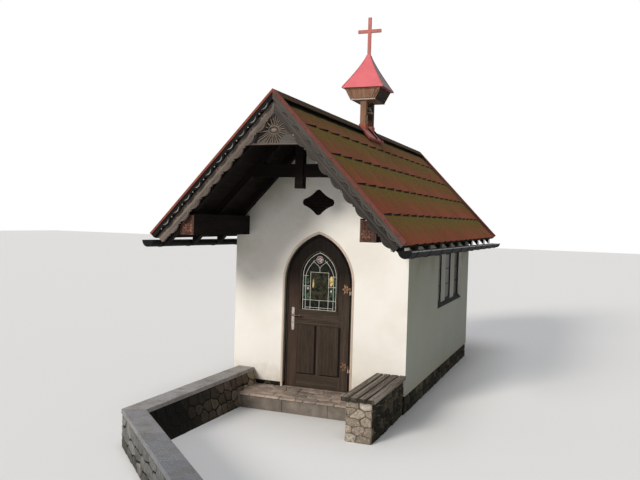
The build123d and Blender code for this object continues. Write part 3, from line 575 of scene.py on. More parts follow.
def sheet_finish(name, main, worn, rust, roughness=0.5, patch=0.09, rust_share=0.6, shaded_side=1.0, fade=None):
    """Painted sheet: fades in clouds, runs of dirt down the fall, rust where the paint has gone."""
    f = Finish(name, roughness)
    cloud = f.add("TexNoise", {"Vector": f.place, "Scale": 1 / patch, "Detail": 6.0})
    # runs of dirt 20 mm wide
    runs = f.add("Mapping", {"Vector": f.place, "Scale": (0.02, 0.02, 0.02 * 16)}, vector_type="TEXTURE")
    dirt = f.add("TexNoise", {"Vector": runs, "Scale": 1.0, "Detail": 5.0})
    base = f.laid(main, worn, cloud, 0.38, 0.66, 0.8)
    base = f.laid(base, rust, dirt, 0.6, 0.74, rust_share)
    # painted shade: faces that turn towards +x are darkened
    if shaded_side < 1:
        base = f.toned(base, f.normal(0), 0.4, 0.7, 1.0, shaded_side)
    # darkening along an axis: painted shade on the verge's right side
    if fade:
        base = f.darkened_along(base, f.place, *fade)
    rough = f.add("MapRange", {0: dirt, 3: roughness - 0.1, 4: roughness + 0.25})
    return f.made(base, cloud, 0.0015, rough)


def plaster_finish(name, main):
    """Lime plaster, floated by hand: soft mottling, grey-green stain and painted shade under the eaves,
    painted shade on the side walls, a dirty foot.
    """
    f = Finish(name, 0.93)
    # stains 0.6 m wide, grains of 11 mm, drawn that coarse so that they show, and float marks of 90 mm
    broad, fine, float_marks = [f.add("TexNoise", {"Vector": f.place, "Scale": scale, "Detail": detail})
                                for scale, detail in ((1.7, 6.0), (90.0, 4.0), (11.0, 4.0))]
    x, height = [f.add("SeparateXYZ", {0: f.place}, axis) for axis in (0, 2)]
    base = f.laid(main, colour("#dfdacd"), broad, 0.4, 0.66, 0.5)
    aside = f.add("Math", {0: x}, operation="ABSOLUTE")
    # under the eaves: a grey-green stain, and painted shade of the overhang
    under_roof = f.add("Math", {0: aside, 1: tan(PITCH), 2: height}, operation="MULTIPLY_ADD")
    eave_stain_and_shade = f.add("Math", {0: broad, 1: 0.8, 2: under_roof}, operation="MULTIPLY_ADD")
    base = f.laid(base, colour("#94937b"), eave_stain_and_shade, 3.3, 3.9, 0.8)
    # painted shade: a grey-green film over the side walls, darker towards the eaves
    outward = f.add("Math", {0: f.normal(0)}, operation="ABSOLUTE")
    side_wall_shade = f.laid(colour("#75806f"), colour("#5c6145"), height, 1.0, 2.1)
    base = f.laid(base, side_wall_shade, outward, 0.4, 0.8, 0.72)
    splashed = f.add("Math", {0: float_marks, 1: 0.3, 2: height}, operation="MULTIPLY_ADD")
    base = f.laid(base, colour("#a99f8b"), splashed, 0.62, 0.36, 0.45)
    relief = f.add("Math", {0: fine, 1: 0.2, 2: float_marks}, operation="MULTIPLY_ADD")
    return f.made(base, relief, 0.006)


def tile_finish(name, clay, moss):
    """Pressed clay tiles: olive moss under each step, rust-red clay with ribs towards the edge, painted
    highlights on the ribs and painted shadow under the lips and the ridge cap.
    """
    f = Finish(name, 0.88)
    along, down_tile = [f.add("SeparateXYZ", {0: f.add("UVMap", uv_map="course")}, axis) for axis in (0, 1)]
    x, y, z = [f.add("SeparateXYZ", {0: f.place}, axis) for axis in range(3)]
    # runs of rain water: 14 mm wide, 0.3 m long down the slope
    fall = f.add("Math", {0: f.add("Math", {0: x}, operation="ABSOLUTE"), 1: 1 / cos(PITCH) / 0.3},
                 operation="MULTIPLY")
    across = f.add("Math", {0: y, 1: 1 / 0.014}, operation="MULTIPLY")
    runs = f.add("TexNoise", {"Vector": f.add("CombineXYZ", {0: across, 1: fall, 2: x}), "Scale": 1.0,
                              "Detail": 4.0})
    # moss in fields of 0.38 m, its cushions 14 mm wide
    cloud = f.add("TexNoise", {"Vector": f.place, "Scale": 2.6, "Detail": 7.0, "Roughness": 0.6})
    fine = f.add("TexNoise", {"Vector": f.place, "Scale": 70.0, "Detail": 4.0})
    tone = f.add("Attribute", output="Fac", attribute_name="tone")
    base = f.laid(shade(clay, 0.8), shade(clay, 1.15), tone)
    base = f.laid(base, colour("#6a4a33"), z, 2.6, 3.5, 0.7)
    grown = f.add("Math", {0: runs, 1: 0.9, 2: down_tile}, operation="MULTIPLY_ADD")
    grown = f.add("Math", {0: cloud, 1: 1.1, 2: grown}, operation="MULTIPLY_ADD")
    grown = f.add("MapRange", {0: grown, 1: 1.15, 2: 1.85, 3: 1.0, 4: 0.05})
    # the verge stays bare
    bare = f.add("MapRange", {0: y, 1: -3.27, 2: -3.12, 3: 0.12})
    share = f.add("Math", {0: grown, 1: bare}, operation="MULTIPLY")
    base = f.laid(base, f.laid(shade(moss, 0.6), shade(moss, 1.35), fine, 0.35, 0.65), share)
    # painted highlight on the rib crests, pale lines 73 mm apart, with painted shade beside them
    ribs = f.add("Math", {0: along, 1: 5.0, 2: -0.5}, operation="MULTIPLY_ADD")
    ribs = f.add("Math", {0: ribs, 1: 0.5}, operation="PINGPONG")
    base = f.laid(base, colour("#33261a"), ribs, 0.3, 0.14, 0.4)
    base = f.laid(base, colour("#a3805f"), ribs, 0.1, 0.03, 0.45)
    # painted shadow: a black line on the tiles beside the ridge cap
    base = f.laid(base, colour("#0d0b09"), z, 3.522, 3.530)
    # painted shadow: the raised lip is black, on its butt and on the tile under it
    butt = f.add("MapRange", {0: down_tile, 1: 1.0, 2: 1.06})
    lip = f.add("MapRange", {0: down_tile, 1: 0.09, 2: 0.066})
    raised = f.add("MapRange", {0: along, 1: 0.79, 2: 0.75})
    lip = f.add("Math", {0: lip, 1: raised}, operation="MULTIPLY")
    base = f.laid(base, colour("#14100e"), f.add("Math", {0: butt, 1: lip}, operation="MAXIMUM"))
    relief = f.add("Math", {0: share, 1: 1.2, 2: fine}, operation="MULTIPLY_ADD")
    return f.made(base, relief, 0.005)


def granite_finish(name, main):
    """Granite: crystals of quartz, felspar and mica, with rain dirt in clouds."""
    f = Finish(name, 0.82)
    crystals = f.add("TexVoronoi", {"Vector": f.place, "Scale": 200.0}, "Color")
    value = f.add("SeparateXYZ", {0: crystals})
    # dirt in clouds of 0.14 m
    cloud = f.add("TexNoise", {"Vector": f.place, "Scale": 7.0, "Detail": 7.0})
    tone = f.add("Attribute", output="Fac", attribute_name="tone")
    base = f.laid(shade(main, 0.55), colour("#b0aaa6"), tone)
    base = f.toned(base, value, 0.0, 1.0, 0.6, 1.3)
    base = f.laid(base, colour("#6d675a"), cloud, 0.48, 0.72, 0.6)
    return f.made(base, value, 0.0012)


def glass_finish(name, low, high, scale=22.0, detail=3.0, start=0.38, end=0.66, roughness=0.2, specular=0.12,
                 depth=0.001):
    """Mottled glass drawn opaque, its dark colours painted shade of the room behind; the scale is the number
    of its spots in a metre.
    """
    f = Finish(name, roughness, specular=specular)
    spots = f.add("TexNoise", {"Vector": f.place, "Scale": scale, "Detail": detail})
    return f.made(f.laid(low, high, spots, start, end), spots, depth)


def metal_finish(name, low, high, roughness):
    """Bare metal, brighter and smoother where it is rubbed, in patches of 25 mm."""
    f = Finish(name, roughness, 1.0)
    worn = f.add("TexNoise", {"Vector": f.place, "Scale": 40.0, "Detail": 6.0})
    share = f.add("MapRange", {0: worn, 1: 0.35, 2: 0.65})
    dull = f.add("MapRange", {0: share, 3: roughness + 0.2, 4: roughness - 0.08})
    return f.made(f.laid(low, high, share), worn, 0.0006, dull)


# Turns that lay a timber's fibres along the building, across it, or down a slope
ALONG_Y, ALONG_X, DOWN = (radians(-90), 0, 0), (0, radians(90), 0), (0, radians(90) + PITCH, 0)
STAINED = "dark_wood dark_wood*0.45 dark_wood*1.9"
OILED = "door_wood door_wood*0.45 door_wood*1.7"
TURRET = "turret_wood turret_wood*0.45 turret_wood*1.5"
# the door darkens towards its head, in the shade of the roof
HEAD_SHADE = (2, 1.28, 1.66, 0.22)

# Each finish: what makes it, the material's name, its colours and its settings
FINISHES = {
    # floated lime plaster, matt and a little uneven, so the eye reads soft mottling and no gloss
    "plaster": (plaster_finish, "lime_plaster_floated", "plaster", {}),
    # fieldstone on the sheltered face, washed light by rain, with dark runs
    "washed_stone": (stone_finish, "fieldstone_washed", "#575752 #6f6f6d #8b8a86", dict(
        grain=0.005, patch=0.06, moss="moss", moss_share=0.4, damp=0.7)),
    # cream sandstone, squared by hand: warm and sandy
    "sandstone": (stone_finish, "sandstone_squared", "sandstone*0.7 sandstone #e0d8ca", dict(
        grain=0.007, patch=0.028, damp=0.35, depth=0.007)),
    # fieldstone with an olive film of moss over wet stone, painted dark as shade on the side that the sun
    # never reaches; the plinth takes it all round
    "mossy_stone": (stone_finish, "fieldstone_mossy", "#24231d #3b382d #5d5747", dict(
        grain=0.006, patch=0.05, moss="#3f4024", moss_share=0.7, damp=0.4, depth=0.004)),
    # rough rubble inside the parapet: painted shade makes it black by the corner; it is tan beside the wall
    "corner_shade_stone": (stone_finish, "fieldstone_rough", "#1c1b19 #75685a #c9b89e", dict(
        grain=0.008, patch=0.035, damp=0.3, depth=0.007)),
    # joints that never dry out: dark, sandy
    "dark_mortar": (stone_finish, "lime_mortar_damp", "#1f1d1a #2b2823 #2b2823", dict(
        grain=0.004, patch=0.05, depth=0.001)),
    # lime mortar raked back from the stones: grey, sandy
    "mortar": (stone_finish, "lime_mortar_raked", "#6b6253 #7a7161 #7a7161", dict(
        grain=0.004, patch=0.05, depth=0.001)),
    # the same mortar struck flush and walked on: pale
    "light_mortar": (stone_finish, "lime_mortar_flush", "#8f8478 #a2968a #a2968a", dict(
        grain=0.004, patch=0.05, depth=0.001)),
    # flamed granite: salt-and-pepper crystals 3 mm across, drawn at 5 mm so that they show
    "granite": (granite_finish, "granite_flamed", "granite", {}),
    # sawn flagstone, worn smooth by feet: a soft sheen
    "flag": (stone_finish, "flagstone_worn", "flag*0.72 flag #b39c8e", dict(
        grain=0.005, patch=0.1, roughness=0.75, depth=0.0008, damp=0.2)),
    # split gneiss: flat grey slabs with a little moss on top
    "riser": (stone_finish, "gneiss_slab_split", "#6a625a #786f66 #857c72", dict(
        grain=0.004, patch=0.12, depth=0.001, moss="moss", moss_share=0.35)),
    # pressed clay: red body, moss, ribs and black lips
    "tile": (tile_finish, "clay_tile_pressed_mossy", "tile moss", {}),

    # stained spruce of the roof: nearly black, fibres barely seen
    "rafter_wood": (timber_finish, "spruce_stained_rafter", STAINED, dict(turn=DOWN, mirrored=True)),
    "plate_wood": (timber_finish, "spruce_stained_plate", STAINED, dict(turn=ALONG_Y)),
    "truss_wood": (timber_finish, "spruce_stained_truss", STAINED, dict(turn=ALONG_X)),
    # boarding seen from below, boards along the building, near black as painted shade under the roof
    "boarding": (timber_finish, "spruce_boarding", "#201a16 #0f0c0a #332b25", dict(turn=ALONG_Y, board=0.25)),
    # larch boards gone silver-grey in the weather; the right-hand ones are painted darker as shade, darker
    # still towards the right eave
    "silver_wood": (timber_finish, "larch_weathered", "#74675f grey_wood*0.36 #958b82", dict(
        turn=DOWN, mirrored=True, wear=0.6, depth=0.0012)),
    "charcoal_wood": (timber_finish, "larch_weathered_dark",
                      "grey_wood*0.42 grey_wood*0.16 grey_wood*0.85", dict(
        turn=DOWN, mirrored=True, wear=0.5, depth=0.0012, fade=(0, 0.5, 1.3, 0.5))),
    # the gable board lies level, so its fibres do too
    "gable_wood": (timber_finish, "larch_gable_board", "grey_wood*0.62 grey_wood*0.3 grey_wood*0.9", dict(
        turn=ALONG_X, wear=0.5)),
    # thin fret board: painted black on the left as the shade under the verge trim, greyer on the right
    "fret_wood": (timber_finish, "spruce_fret_board", "#171514 #0b0a0a #2b2827", dict(
        turn=DOWN, mirrored=True, wear=0.3, right="grey_wood*0.5")),
    # cut edges of the carving: fresher and browner than the board
    "gable_carving": (timber_finish, "larch_carved_line", "#8f7b6c #65564a #a89585", dict(
        turn=ALONG_X, wear=0.4)),
    # painted shade: black lines beside carved rays, beside raised panels, under the bargeboard's lobes and on
    # the right fret's knobs
    "groove": (timber_finish, "larch_carved_groove", "#1d1816 #0f0d0c #29221e", dict(turn=ALONG_X, wear=0.2)),
    # reddish stain left in the carved flowers, and a browner one in the field behind them
    "plate_carving": (timber_finish, "spruce_carved_rose", "#7d564a #4a3029 #a98374", dict(
        wear=0.5, board=0.2)),
    "plate_panel": (timber_finish, "spruce_plate_panel", "#523a31 #2a1d18 #6d5044", dict(wear=0.5)),
    # larch of the turret, brown under a grey weathering; its posts darken to the back, painted shade; its
    # sides and the borders of its shields take a shaded copy, painted shade
    "turret_wood": (timber_finish, "larch_turret", TURRET, dict(board=0.15)),
    "post_wood": (timber_finish, "larch_turret_post", TURRET, dict(
        fade=(1, TURRET_Y - 0.1, TURRET_Y + 0.1, 0.2))),
    "turret_dark": (timber_finish, "larch_turret_shaded", "#2b221d #14100e #463a32", dict(
        turn=ALONG_Y, board=0.2)),
    # oak slats worn by sitting: greyed on top, dark on their cut ends
    "slat_wood": (timber_finish, "oak_slat_worn", "#7d7367 #37302a #a09689", dict(
        turn=ALONG_Y, board=0.2, wear=0.85, roughness=0.62, fade=(1, -3.379, -3.384, 0.25))),
    # oiled oak of the door, satin: stiles, rails, raised panels and frame each have their own tone
    "door_wood": (timber_finish, "oak_oiled_door", OILED, dict(
        roughness=0.68, depth=0.0005, fade=HEAD_SHADE)),
    "door_red": (timber_finish, "oak_oiled_stile", "door_red door_red*0.5 door_red*1.5", dict(
        roughness=0.68, depth=0.0005, fade=HEAD_SHADE)),
    "door_rail": (timber_finish, "oak_oiled_rail", OILED, dict(turn=ALONG_X, roughness=0.68, depth=0.0005)),
    "door_panel": (timber_finish, "oak_oiled_panel", "#42372e #2a231d #50453a", dict(
        roughness=0.68, depth=0.0005)),
    # the frame darkens towards its head: painted shade
    "frame_wood": (timber_finish, "oak_oiled_frame", "#38302a #1c1714 #544840", dict(
        roughness=0.7, fade=(2, 1.2, 1.8, 0.35))),
    # beige paint on the band round the door, brushed
    "band": (timber_finish, "painted_band", "band band*0.72 band*1.15", dict(roughness=0.6, depth=0.0003)),
    # spruce of the window bars, stained brown
    "sash": (timber_finish, "spruce_sash_stained", "#3a322c #1c1815 #5b5149", dict(depth=0.0003)),

    # painted steel on the verge: sun-bleached red oxide, painted darker on the right as shade
    "verge_sheet": (sheet_finish, "oxide_painted_sheet", "verge verge*0.72 #5d3429", dict(
        roughness=0.6, fade=(0, -0.03, 0.03, 0.72))),
    # the ridge sheet has lost its red under dirt and lichen; its dark brown is also painted shade
    "ridge_sheet": (sheet_finish, "oxide_painted_ridge", "#3c2c1b #2d2515 #2a2017", dict(
        roughness=0.85, patch=0.12, rust_share=0.8)),
    # fresher coat on the turret: pinkish red, with painted shade on its right-hand faces
    "spire_sheet": (sheet_finish, "painted_spire_sheet", "spire spire*0.85 #8d4440", dict(
        roughness=0.42, patch=0.16, rust_share=0.5, shaded_side=0.07)),
    # the same paint on the saddle, older: darker red with rust in clouds
    "flashing": (sheet_finish, "painted_flashing", "#97423a #7a372e #6a352c", dict(
        patch=0.1, rust_share=0.7)),
    # steel of the cross, its red chalked by the sun
    "cross_steel": (sheet_finish, "painted_cross_steel", "#b15a50 #9c5348 #5f3b2d", dict(
        patch=0.06, rust_share=0.8)),
    # painted boards at the posts' feet
    "curb": (sheet_finish, "painted_curb_board", "#a5604e #8d4b3d #8a5546", dict(
        roughness=0.7, patch=0.08, rust_share=0.4)),
    # coated gutter sheet: black, satin, dusty; its rolled rim is painted grey as a highlight
    "gutter": (sheet_finish, "coated_gutter_sheet", "gutter gutter*1.6 #2c2823", dict(
        roughness=0.62, patch=0.2, rust_share=0.5)),
    "gutter_rim": (sheet_finish, "gutter_rim_worn", "#5e6064 #44464a #3a342e", dict(
        roughness=0.4, patch=0.1, rust_share=0.4)),
    # chalky white paint: in carved lines and on the turret's foot; the crescents of the fret are pale as
    # painted light
    "carving_paint": (sheet_finish, "chalk_paint_carving", "#c9c3ba #a39d94 #5d5852", dict(
        roughness=0.8, patch=0.02)),
    "crescent": (sheet_finish, "chalk_paint_crescent", "#8f918b #6d706b #3d3e3b", dict(
        roughness=0.8, patch=0.02)),
    "rim_paint": (sheet_finish, "chalk_paint_rim", "#b9b0a6 #938a80 #6a6058", dict(
        roughness=0.8, patch=0.03)),
    # cast lead came under chalky paint, and one that has gone dull
    "lead": (sheet_finish, "painted_lead_came", "lead lead*0.85 #8c877c", dict(
        roughness=0.6, patch=0.03, rust_share=0.3)),
    "lead_dark": (sheet_finish, "lead_came_dull", "#55524a #3f3d38 #6d685d", dict(roughness=0.6, patch=0.03)),
    # the bell's turned bands, painted pale as a highlight
    "bell_lip": (sheet_finish, "bronze_lip_worn", "#8d8478 #5e564c #3d362f", dict(roughness=0.4, patch=0.03)),

    # clear window glass: its dark grey is painted shade of the room behind; dull with dust, faint waves
    "window_glass": (glass_finish, "float_glass_grey", "#0d0f10 #24282a", dict(
        scale=5.0, detail=2.0, start=0.0, end=1.0, roughness=0.3, specular=0.05, depth=0.002)),
    # cathedral glass: brownish green, mottled, hammered, near black as painted shade of the room behind
    "door_glass": (glass_finish, "cathedral_glass_olive", "#090a08 #22251b", dict(
        scale=24.0, detail=4.0, start=0.36, end=0.64, depth=0.002)),
    # coloured cathedral glass, streaked in the sheet
    "glass_amber": (glass_finish, "cathedral_glass_amber", "#7d6526 #e0c987", {}),
    "glass_rose": (glass_finish, "cathedral_glass_rose", "#9c6a70 #edd0d0", {}),
    "glass_green": (glass_finish, "cathedral_glass_green", "#080d0a #4c6450", {}),
    "glass_smoke": (glass_finish, "cathedral_glass_smoke", "#0c0d09 #3f3f2c", {}),

    # cast bell bronze, nearly black with a brown sheen where it is handled
    "bell": (metal_finish, "bell_bronze_cast", "#231f1c #5a4d40", dict(roughness=0.42)),
    # forged iron with its black scale
    "iron": (metal_finish, "forged_iron_scale", "#1d1b1a #3f3833", dict(roughness=0.6)),
    # coppery brass, tarnished in the hollows
    "brass": (metal_finish, "brass_tarnished", "#46352a #93735a", dict(roughness=0.48)),
    # the same brass rubbed pale at the pins, and dark from hands on the lever
    "pale_brass": (metal_finish, "brass_rubbed_pale", "#8a7c6e #d6cabb", dict(roughness=0.45)),
    "lever_brass": (metal_finish, "brass_handled", "#2e211b #7b5a48", dict(roughness=0.45)),
    # nickelled steel plate, dulled by hands
    "plate": (metal_finish, "nickelled_steel_plate", "#8d8781 #c3bdb5", dict(roughness=0.34)),
}
MADE = {}


def finish(key):
    """The finish of that key, made when it is first asked for."""
    if key not in MADE:
        maker, name, colours, settings = FINISHES[key]
        MADE[key] = maker(name, *[paint(text) for text in colours.split()], **settings)
    return MADE[key]


# Stones

def clipped(polygon, normal, limit):
    """Part of a convex polygon where its points times the normal stay under the limit."""
    kept = []
    for here, after in edges(polygon):
        first, second = [point[0] * normal[0] + point[1] * normal[1] - limit for point in (here, after)]
        if first <= 0:
            kept.append(here)
        if (first < 0) != (second < 0) and first != second:
            kept.append(between(here, after, first / (first - second)))
    return kept


def stone_outlines(region, size, ratio, joint, seed):
    """Irregular stones that fill a flat convex region, each cut back by half a joint."""
    # how far a stone's heart strays from its place, in columns and rows, how many columns away its neighbours
    # are looked for, and the smallest stone that is kept, as a share of the usual one
    stray_u, stray_v, neighbours, smallest = 0.34, 0.26, 3, 0.06
    picker = random.Random(seed)
    low_u, high_u = min(p[0] for p in region), max(p[0] for p in region)
    low_v, high_v = min(p[1] for p in region), max(p[1] for p in region)
    rows = max(1, round((high_v - low_v) / (size * ratio)))
    columns = max(1, round((high_u - low_u) / size))
    row_step, column_step = (high_v - low_v) / rows, (high_u - low_u) / columns
    hearts = []
    for row in range(rows):
        for column in range(columns + row % 2):
            u = low_u + (column + 0.5 - 0.5 * (row % 2) + picker.uniform(-stray_u, stray_u)) * column_step
            v = low_v + (row + 0.5 + picker.uniform(-stray_v, stray_v)) * row_step
            hearts.append((u, v))
    weight = (column_step / row_step) ** 2
    outlines = []
    for here in hearts:
        cell = list(region)
        for other in hearts:
            du, dv = other[0] - here[0], (other[1] - here[1]) * weight
            if other is here or du * du + dv * dv / weight > (neighbours * column_step) ** 2:
                continue
            middle = middle_of((here, other))
            normal = (du / hypot(du, dv), dv / hypot(du, dv))
            cell = clipped(cell, normal, middle[0] * normal[0] + middle[1] * normal[1] - joint / 2)
            if len(cell) < 3:
                break
        if len(cell) > 2 and abs(double_area(cell)) / 2 > smallest * size * size * ratio:
            outlines.append(cell)
    return outlines


def knocked_off(outline):
    """Outline with its corners cut, each by a share of the edges that meet there."""
    share = 0.13
    return [point for here, after in edges(outline)
            for point in (between(here, after, share), between(after, here, share))]


def ragged(outline, depth, picker):
    """Outline with each edge halved and its points drawn in unevenly, by a quarter at most."""
    most = 0.25
    centre = middle_of(outline)
    moved = []
    for point in [point for pair in edges(outline) for point in (pair[0], middle_of(pair))]:
        away = max(1e-4, hypot(point[0] - centre[0], point[1] - centre[1]))
        moved.append(between(centre, point, 1 - min(most, picker.uniform(0, depth) / away)))
    return moved


def lay_stones(shape, region, place, size, ratio, joint, proud, seed, rounding=0.009, rough=0.4, slot=0,
               low=-0.006, tone=None):
    """Stones on a face: rounded, tilted a little and uneven, each with its own tone."""
    # how ragged the outline is, how much the top leans and how far the rings are drawn in at most, as shares,
    # and how many lumps there are in a metre
    uneven, leaning, deepest, lumps = 0.045, 2.5, 0.72, 41
    picker = random.Random(seed * 31 + 5)
    for outline in stone_outlines(region, size, ratio, joint, seed):
        smooth = knocked_off(outline)
        # squared stones keep their straight edges
        if rough > 0.3:
            smooth = ragged(smooth, size * uneven, picker)
        centre = middle_of(smooth)
        rise = proud * picker.uniform(1 - rough, 1.0)
        lean = (picker.uniform(-1, 1), picker.uniform(-1, 1))
        rings = []
        # how far each ring is drawn in, in roundings, and how high it lies
        for pull, share in ((0.0, None), (0.0, 0.4), (0.4, 0.8), (1.3, 0.95), (3.2, 1.0)):
            ring = []
            for u, v in smooth:
                away = max(1e-4, hypot(u - centre[0], v - centre[1]))
                x, y = between(centre, (u, v), 1 - min(deepest, rounding * pull / away))
                height = low
                if share is not None:
                    tilt = (lean[0] * (x - centre[0]) + lean[1] * (y - centre[1])) * proud * leaning
                    bump = noise.noise(Vector((x * lumps, y * lumps, seed))) * proud * rough
                    height = min(proud, max(low + 0.001, (rise + tilt + bump) * share))
                ring.append(place(x, y, height))
            rings.append(ring)
        shape.rings(rings, tone(centre[0]) * picker.uniform(0.6, 1.2) if tone else picker.random(), slot)


# Terrace parapet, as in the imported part: its top, half widths at the top, foot and coping, and its two legs
PARAPET_TOP, HALF_TOP, HALF_FOOT, HALF_COPING = 0.335, 0.100, 0.205, 0.1125
PARAPET_START = Vector((-0.965, FRONT_Y, 0))
SKEW, TURN = radians(-0.9), radians(47)
CORNER = PARAPET_START + Vector((sin(SKEW), -cos(SKEW), 0)) * 2.340
PARAPET_END = CORNER + Vector((sin(TURN), -cos(TURN), 0)) * 2.250
OUTWARD = [Vector((-cos(turn), -sin(turn), 0)) for turn in (SKEW, TURN)]


def parapet_points(reach):
    """Start, corner and end of the line that runs beside the parapet's middle, outwards by a reach."""
    start = PARAPET_START + Vector((-reach / cos(SKEW), 0, 0))
    half = (TURN + SKEW) / 2
    mitre = Vector((-cos(half), -sin(half), 0)) * reach / cos((TURN - SKEW) / 2)
    return start, CORNER + mitre, PARAPET_END + OUTWARD[1] * reach


class CHAPEL_OT_rubble(bpy.types.Operator):
    """Lay the rubble of the plinth, the bench base and the parapet"""
    bl_idname = "chapel.rubble"
    bl_label = "Rubble"

    def plinth(self, sizes):
        joint, seed = sizes.stone_joint, sizes.seed
        reach_x, reach_y, top = 1.13, 2.08, 0.226
        stones = Shape()
        for k, (x, y, across, half) in enumerate((
            (reach_x, 0, (0, 1, 0), reach_y), (-reach_x, 0, (0, -1, 0), reach_y),
            (0, reach_y, (-1, 0, 0), reach_x),
        )):
            lay_stones(stones, rectangle(-half + 0.002, 0, half - 0.002, top), upright(x, y, 0, across),
                       sizes.plinth_stone, 0.58, joint, 0.016, seed + k)
        # on the front, beside the doorway over the step, and left of the parapet
        for k, (low, high, foot) in enumerate((
            (-0.86, -0.456, 0.181), (0.456, 0.834, 0.181), (-1.128, -1.06, 0),
        )):
            lay_stones(stones, rectangle(low, foot, high, top), upright(0, -reach_y), 0.16, 0.7, joint, 0.015,
                       seed + 5 + k)
        finish_piece("plinth_stones", stones, "mossy_stone", "chapel")

    def bench_base(self, sizes):
        low_x, high_x, front, top = 0.835, 1.120, -3.320, 0.432
        stones = Shape()
        for k, (x, y, across, low, high, foot, slot) in enumerate((
            (0, front, (1, 0, 0), low_x, high_x, 0, 0),
            (low_x, 0, (0, -1, 0), 2.640, 3.320, 0, 0),
            (low_x, 0, (0, -1, 0), 2.112, 2.634, 0.18, 0),
            # the east face takes the mossy finish: moss, and painted shade
            (high_x, 0, (0, 1, 0), front, FRONT_Y, 0, 1),
        )):
            lay_stones(stones, rectangle(low, foot, high, top), upright(x, y, 0, across), sizes.bench_stone,
                       0.6, sizes.stone_joint * 0.55, 0.016, sizes.seed + 11 + k, 0.014, 0.8, slot)
        finish_piece("bench_base_stones", stones, "sandstone mossy_stone", "chapel")

    def parapet_outside(self, sizes):
        joint, seed, top = sizes.stone_joint, sizes.seed, 0.332
        stones = Shape()
        line = parapet_points(HALF_TOP)
        for k in (0, 1):
            along = line[k + 1] - line[k]
            lay_stones(stones, rectangle(0.004, 0, along.length - 0.003, top),
                       facing(line[k], along.normalized(), UP), sizes.parapet_stone, 0.5, joint, 0.011,
                       seed + 21 + k)
        # the square end, which leans with the inner face
        across = parapet_points(-HALF_FOOT)[2] - line[2]
        wide = across.length
        region = [(0.003, 0), (wide - 0.003, 0), (wide - HALF_FOOT + HALF_TOP, top), (0.003, top)]
        lay_stones(stones, region, facing(line[2], across.normalized(), UP), 0.14, 0.7, joint, 0.01,
                   seed + 25)
        finish_piece("parapet_outer_stones", stones, "washed_stone", "chapel")

    def parapet_inside(self, sizes):
        stones = Shape()
        low_line, high_line = parapet_points(-HALF_FOOT), parapet_points(-HALF_TOP)
        for k in (0, 1):
            near, far = low_line[k], low_line[k + 1]
            across = (near - far).normalized()
            lead = (high_line[k + 1] - far).dot(across)
            lag = (high_line[k] - near).dot(across)
            rise = (high_line[k + 1] - far) - across * lead + UP * PARAPET_TOP
            long, high = (near - far).length, rise.length
            region = [(0.002, 0.006), (long - 0.002, 0.006), (long + lag - 0.002, high - 0.004),
                      (lead + 0.002, high - 0.004)]
            # the tone rises from the corner towards the wall, painted shade by the corner; the turned leg
            # keeps a dark tone, painted shade too
            lay_stones(stones, region, facing(far, across, rise.normalized()), sizes.parapet_stone * 0.62,
                       0.7, sizes.stone_joint, 0.011, sizes.seed + 31 + k, 0.014, 0.8,
                       tone=lambda u, k=k: 0.3 if k else max(0.0, 0.52 * u - 0.2))
        finish_piece("parapet_inner_stones", stones, "corner_shade_stone", "chapel")

    def execute(self, context):
        sizes = context.scene.chapel_sizes
        self.plinth(sizes)
        self.bench_base(sizes)
        self.parapet_outside(sizes)
        self.parapet_inside(sizes)
        dress("dark_mortar", "plinth", "parapet_wall")
        dress("mortar", "bench_base")
        return {"FINISHED"}


class CHAPEL_OT_coping(bpy.types.Operator):
    """Lay the parapet's granite coping slabs"""
    bl_idname = "chapel.coping"
    bl_label = "Coping"

    def execute(self, context):
        picker = random.Random(context.scene.chapel_sizes.seed + 3)
        slabs = Shape()
        outer, inner = parapet_points(HALF_COPING), parapet_points(-HALF_COPING)
        # where the slabs of each leg meet; the leg by the wall is lighter, the turned leg darker
        for k, (cuts, tones) in enumerate((((0, 0.31, 0.64, 1), (1.0, 0.78, 0.62)),
                                           ((0, 0.36, 0.7, 1), (0.32, 0.12, 0.0)))):
            gap = 0.0024 / (outer[k + 1] - outer[k]).length
            for low, high, tone in zip(cuts, cuts[1:], tones):
                ends = [low + gap if low else low, high - gap if high < 1 else high]
                corners = [outer[k].lerp(outer[k + 1], share) for share in ends]
                corners += [inner[k].lerp(inner[k + 1], share) for share in ends[::-1]]
                slabs.prism([(point.x, point.y) for point in corners], level(0, 0, PARAPET_TOP), 0,
                            0.045 - picker.uniform(0, 0.001), 0.005, tone)
        finish_piece("parapet_coping_slabs", slabs, "granite", "chapel", ["parapet_coping"])
        return {"FINISHED"}


class CHAPEL_OT_doorstep(bpy.types.Operator):
    """Pave the doorstep and face its riser"""
    bl_idname = "chapel.doorstep"
    bl_label = "Doorstep"

    def execute(self, context):
        sizes = context.scene.chapel_sizes
        tread, riser = Shape(), Shape()
        region = [(-0.775, -2.650), (-0.33, -2.643), (0.05, -2.654), (0.44, -2.645), (0.831, -2.652),
                  (0.831, -2.083), (-0.845, -2.083)]
        lay_stones(tread, region, level(0, 0, 0.165), sizes.flag_size, 0.78, sizes.stone_joint * 0.7, 0.0125,
                   sizes.seed + 41, 0.004, 0.06, 0, -0.010)
        finish_piece("doorstep_flags", tread, "flag", "chapel")
        for low, high, tone in ((-0.755, -0.208, 0.35), (-0.205, 0.372, 0.75), (0.375, 0.828, 0.5)):
            riser.prism(rectangle(low, 0.001, high, 0.148), upright(0, -2.630), -0.006, 0.009, 0.004, tone)
        finish_piece("doorstep_riser", riser, "riser", "chapel")
        dress("light_mortar", "doorstep")
        return {"FINISHED"}


# Roof

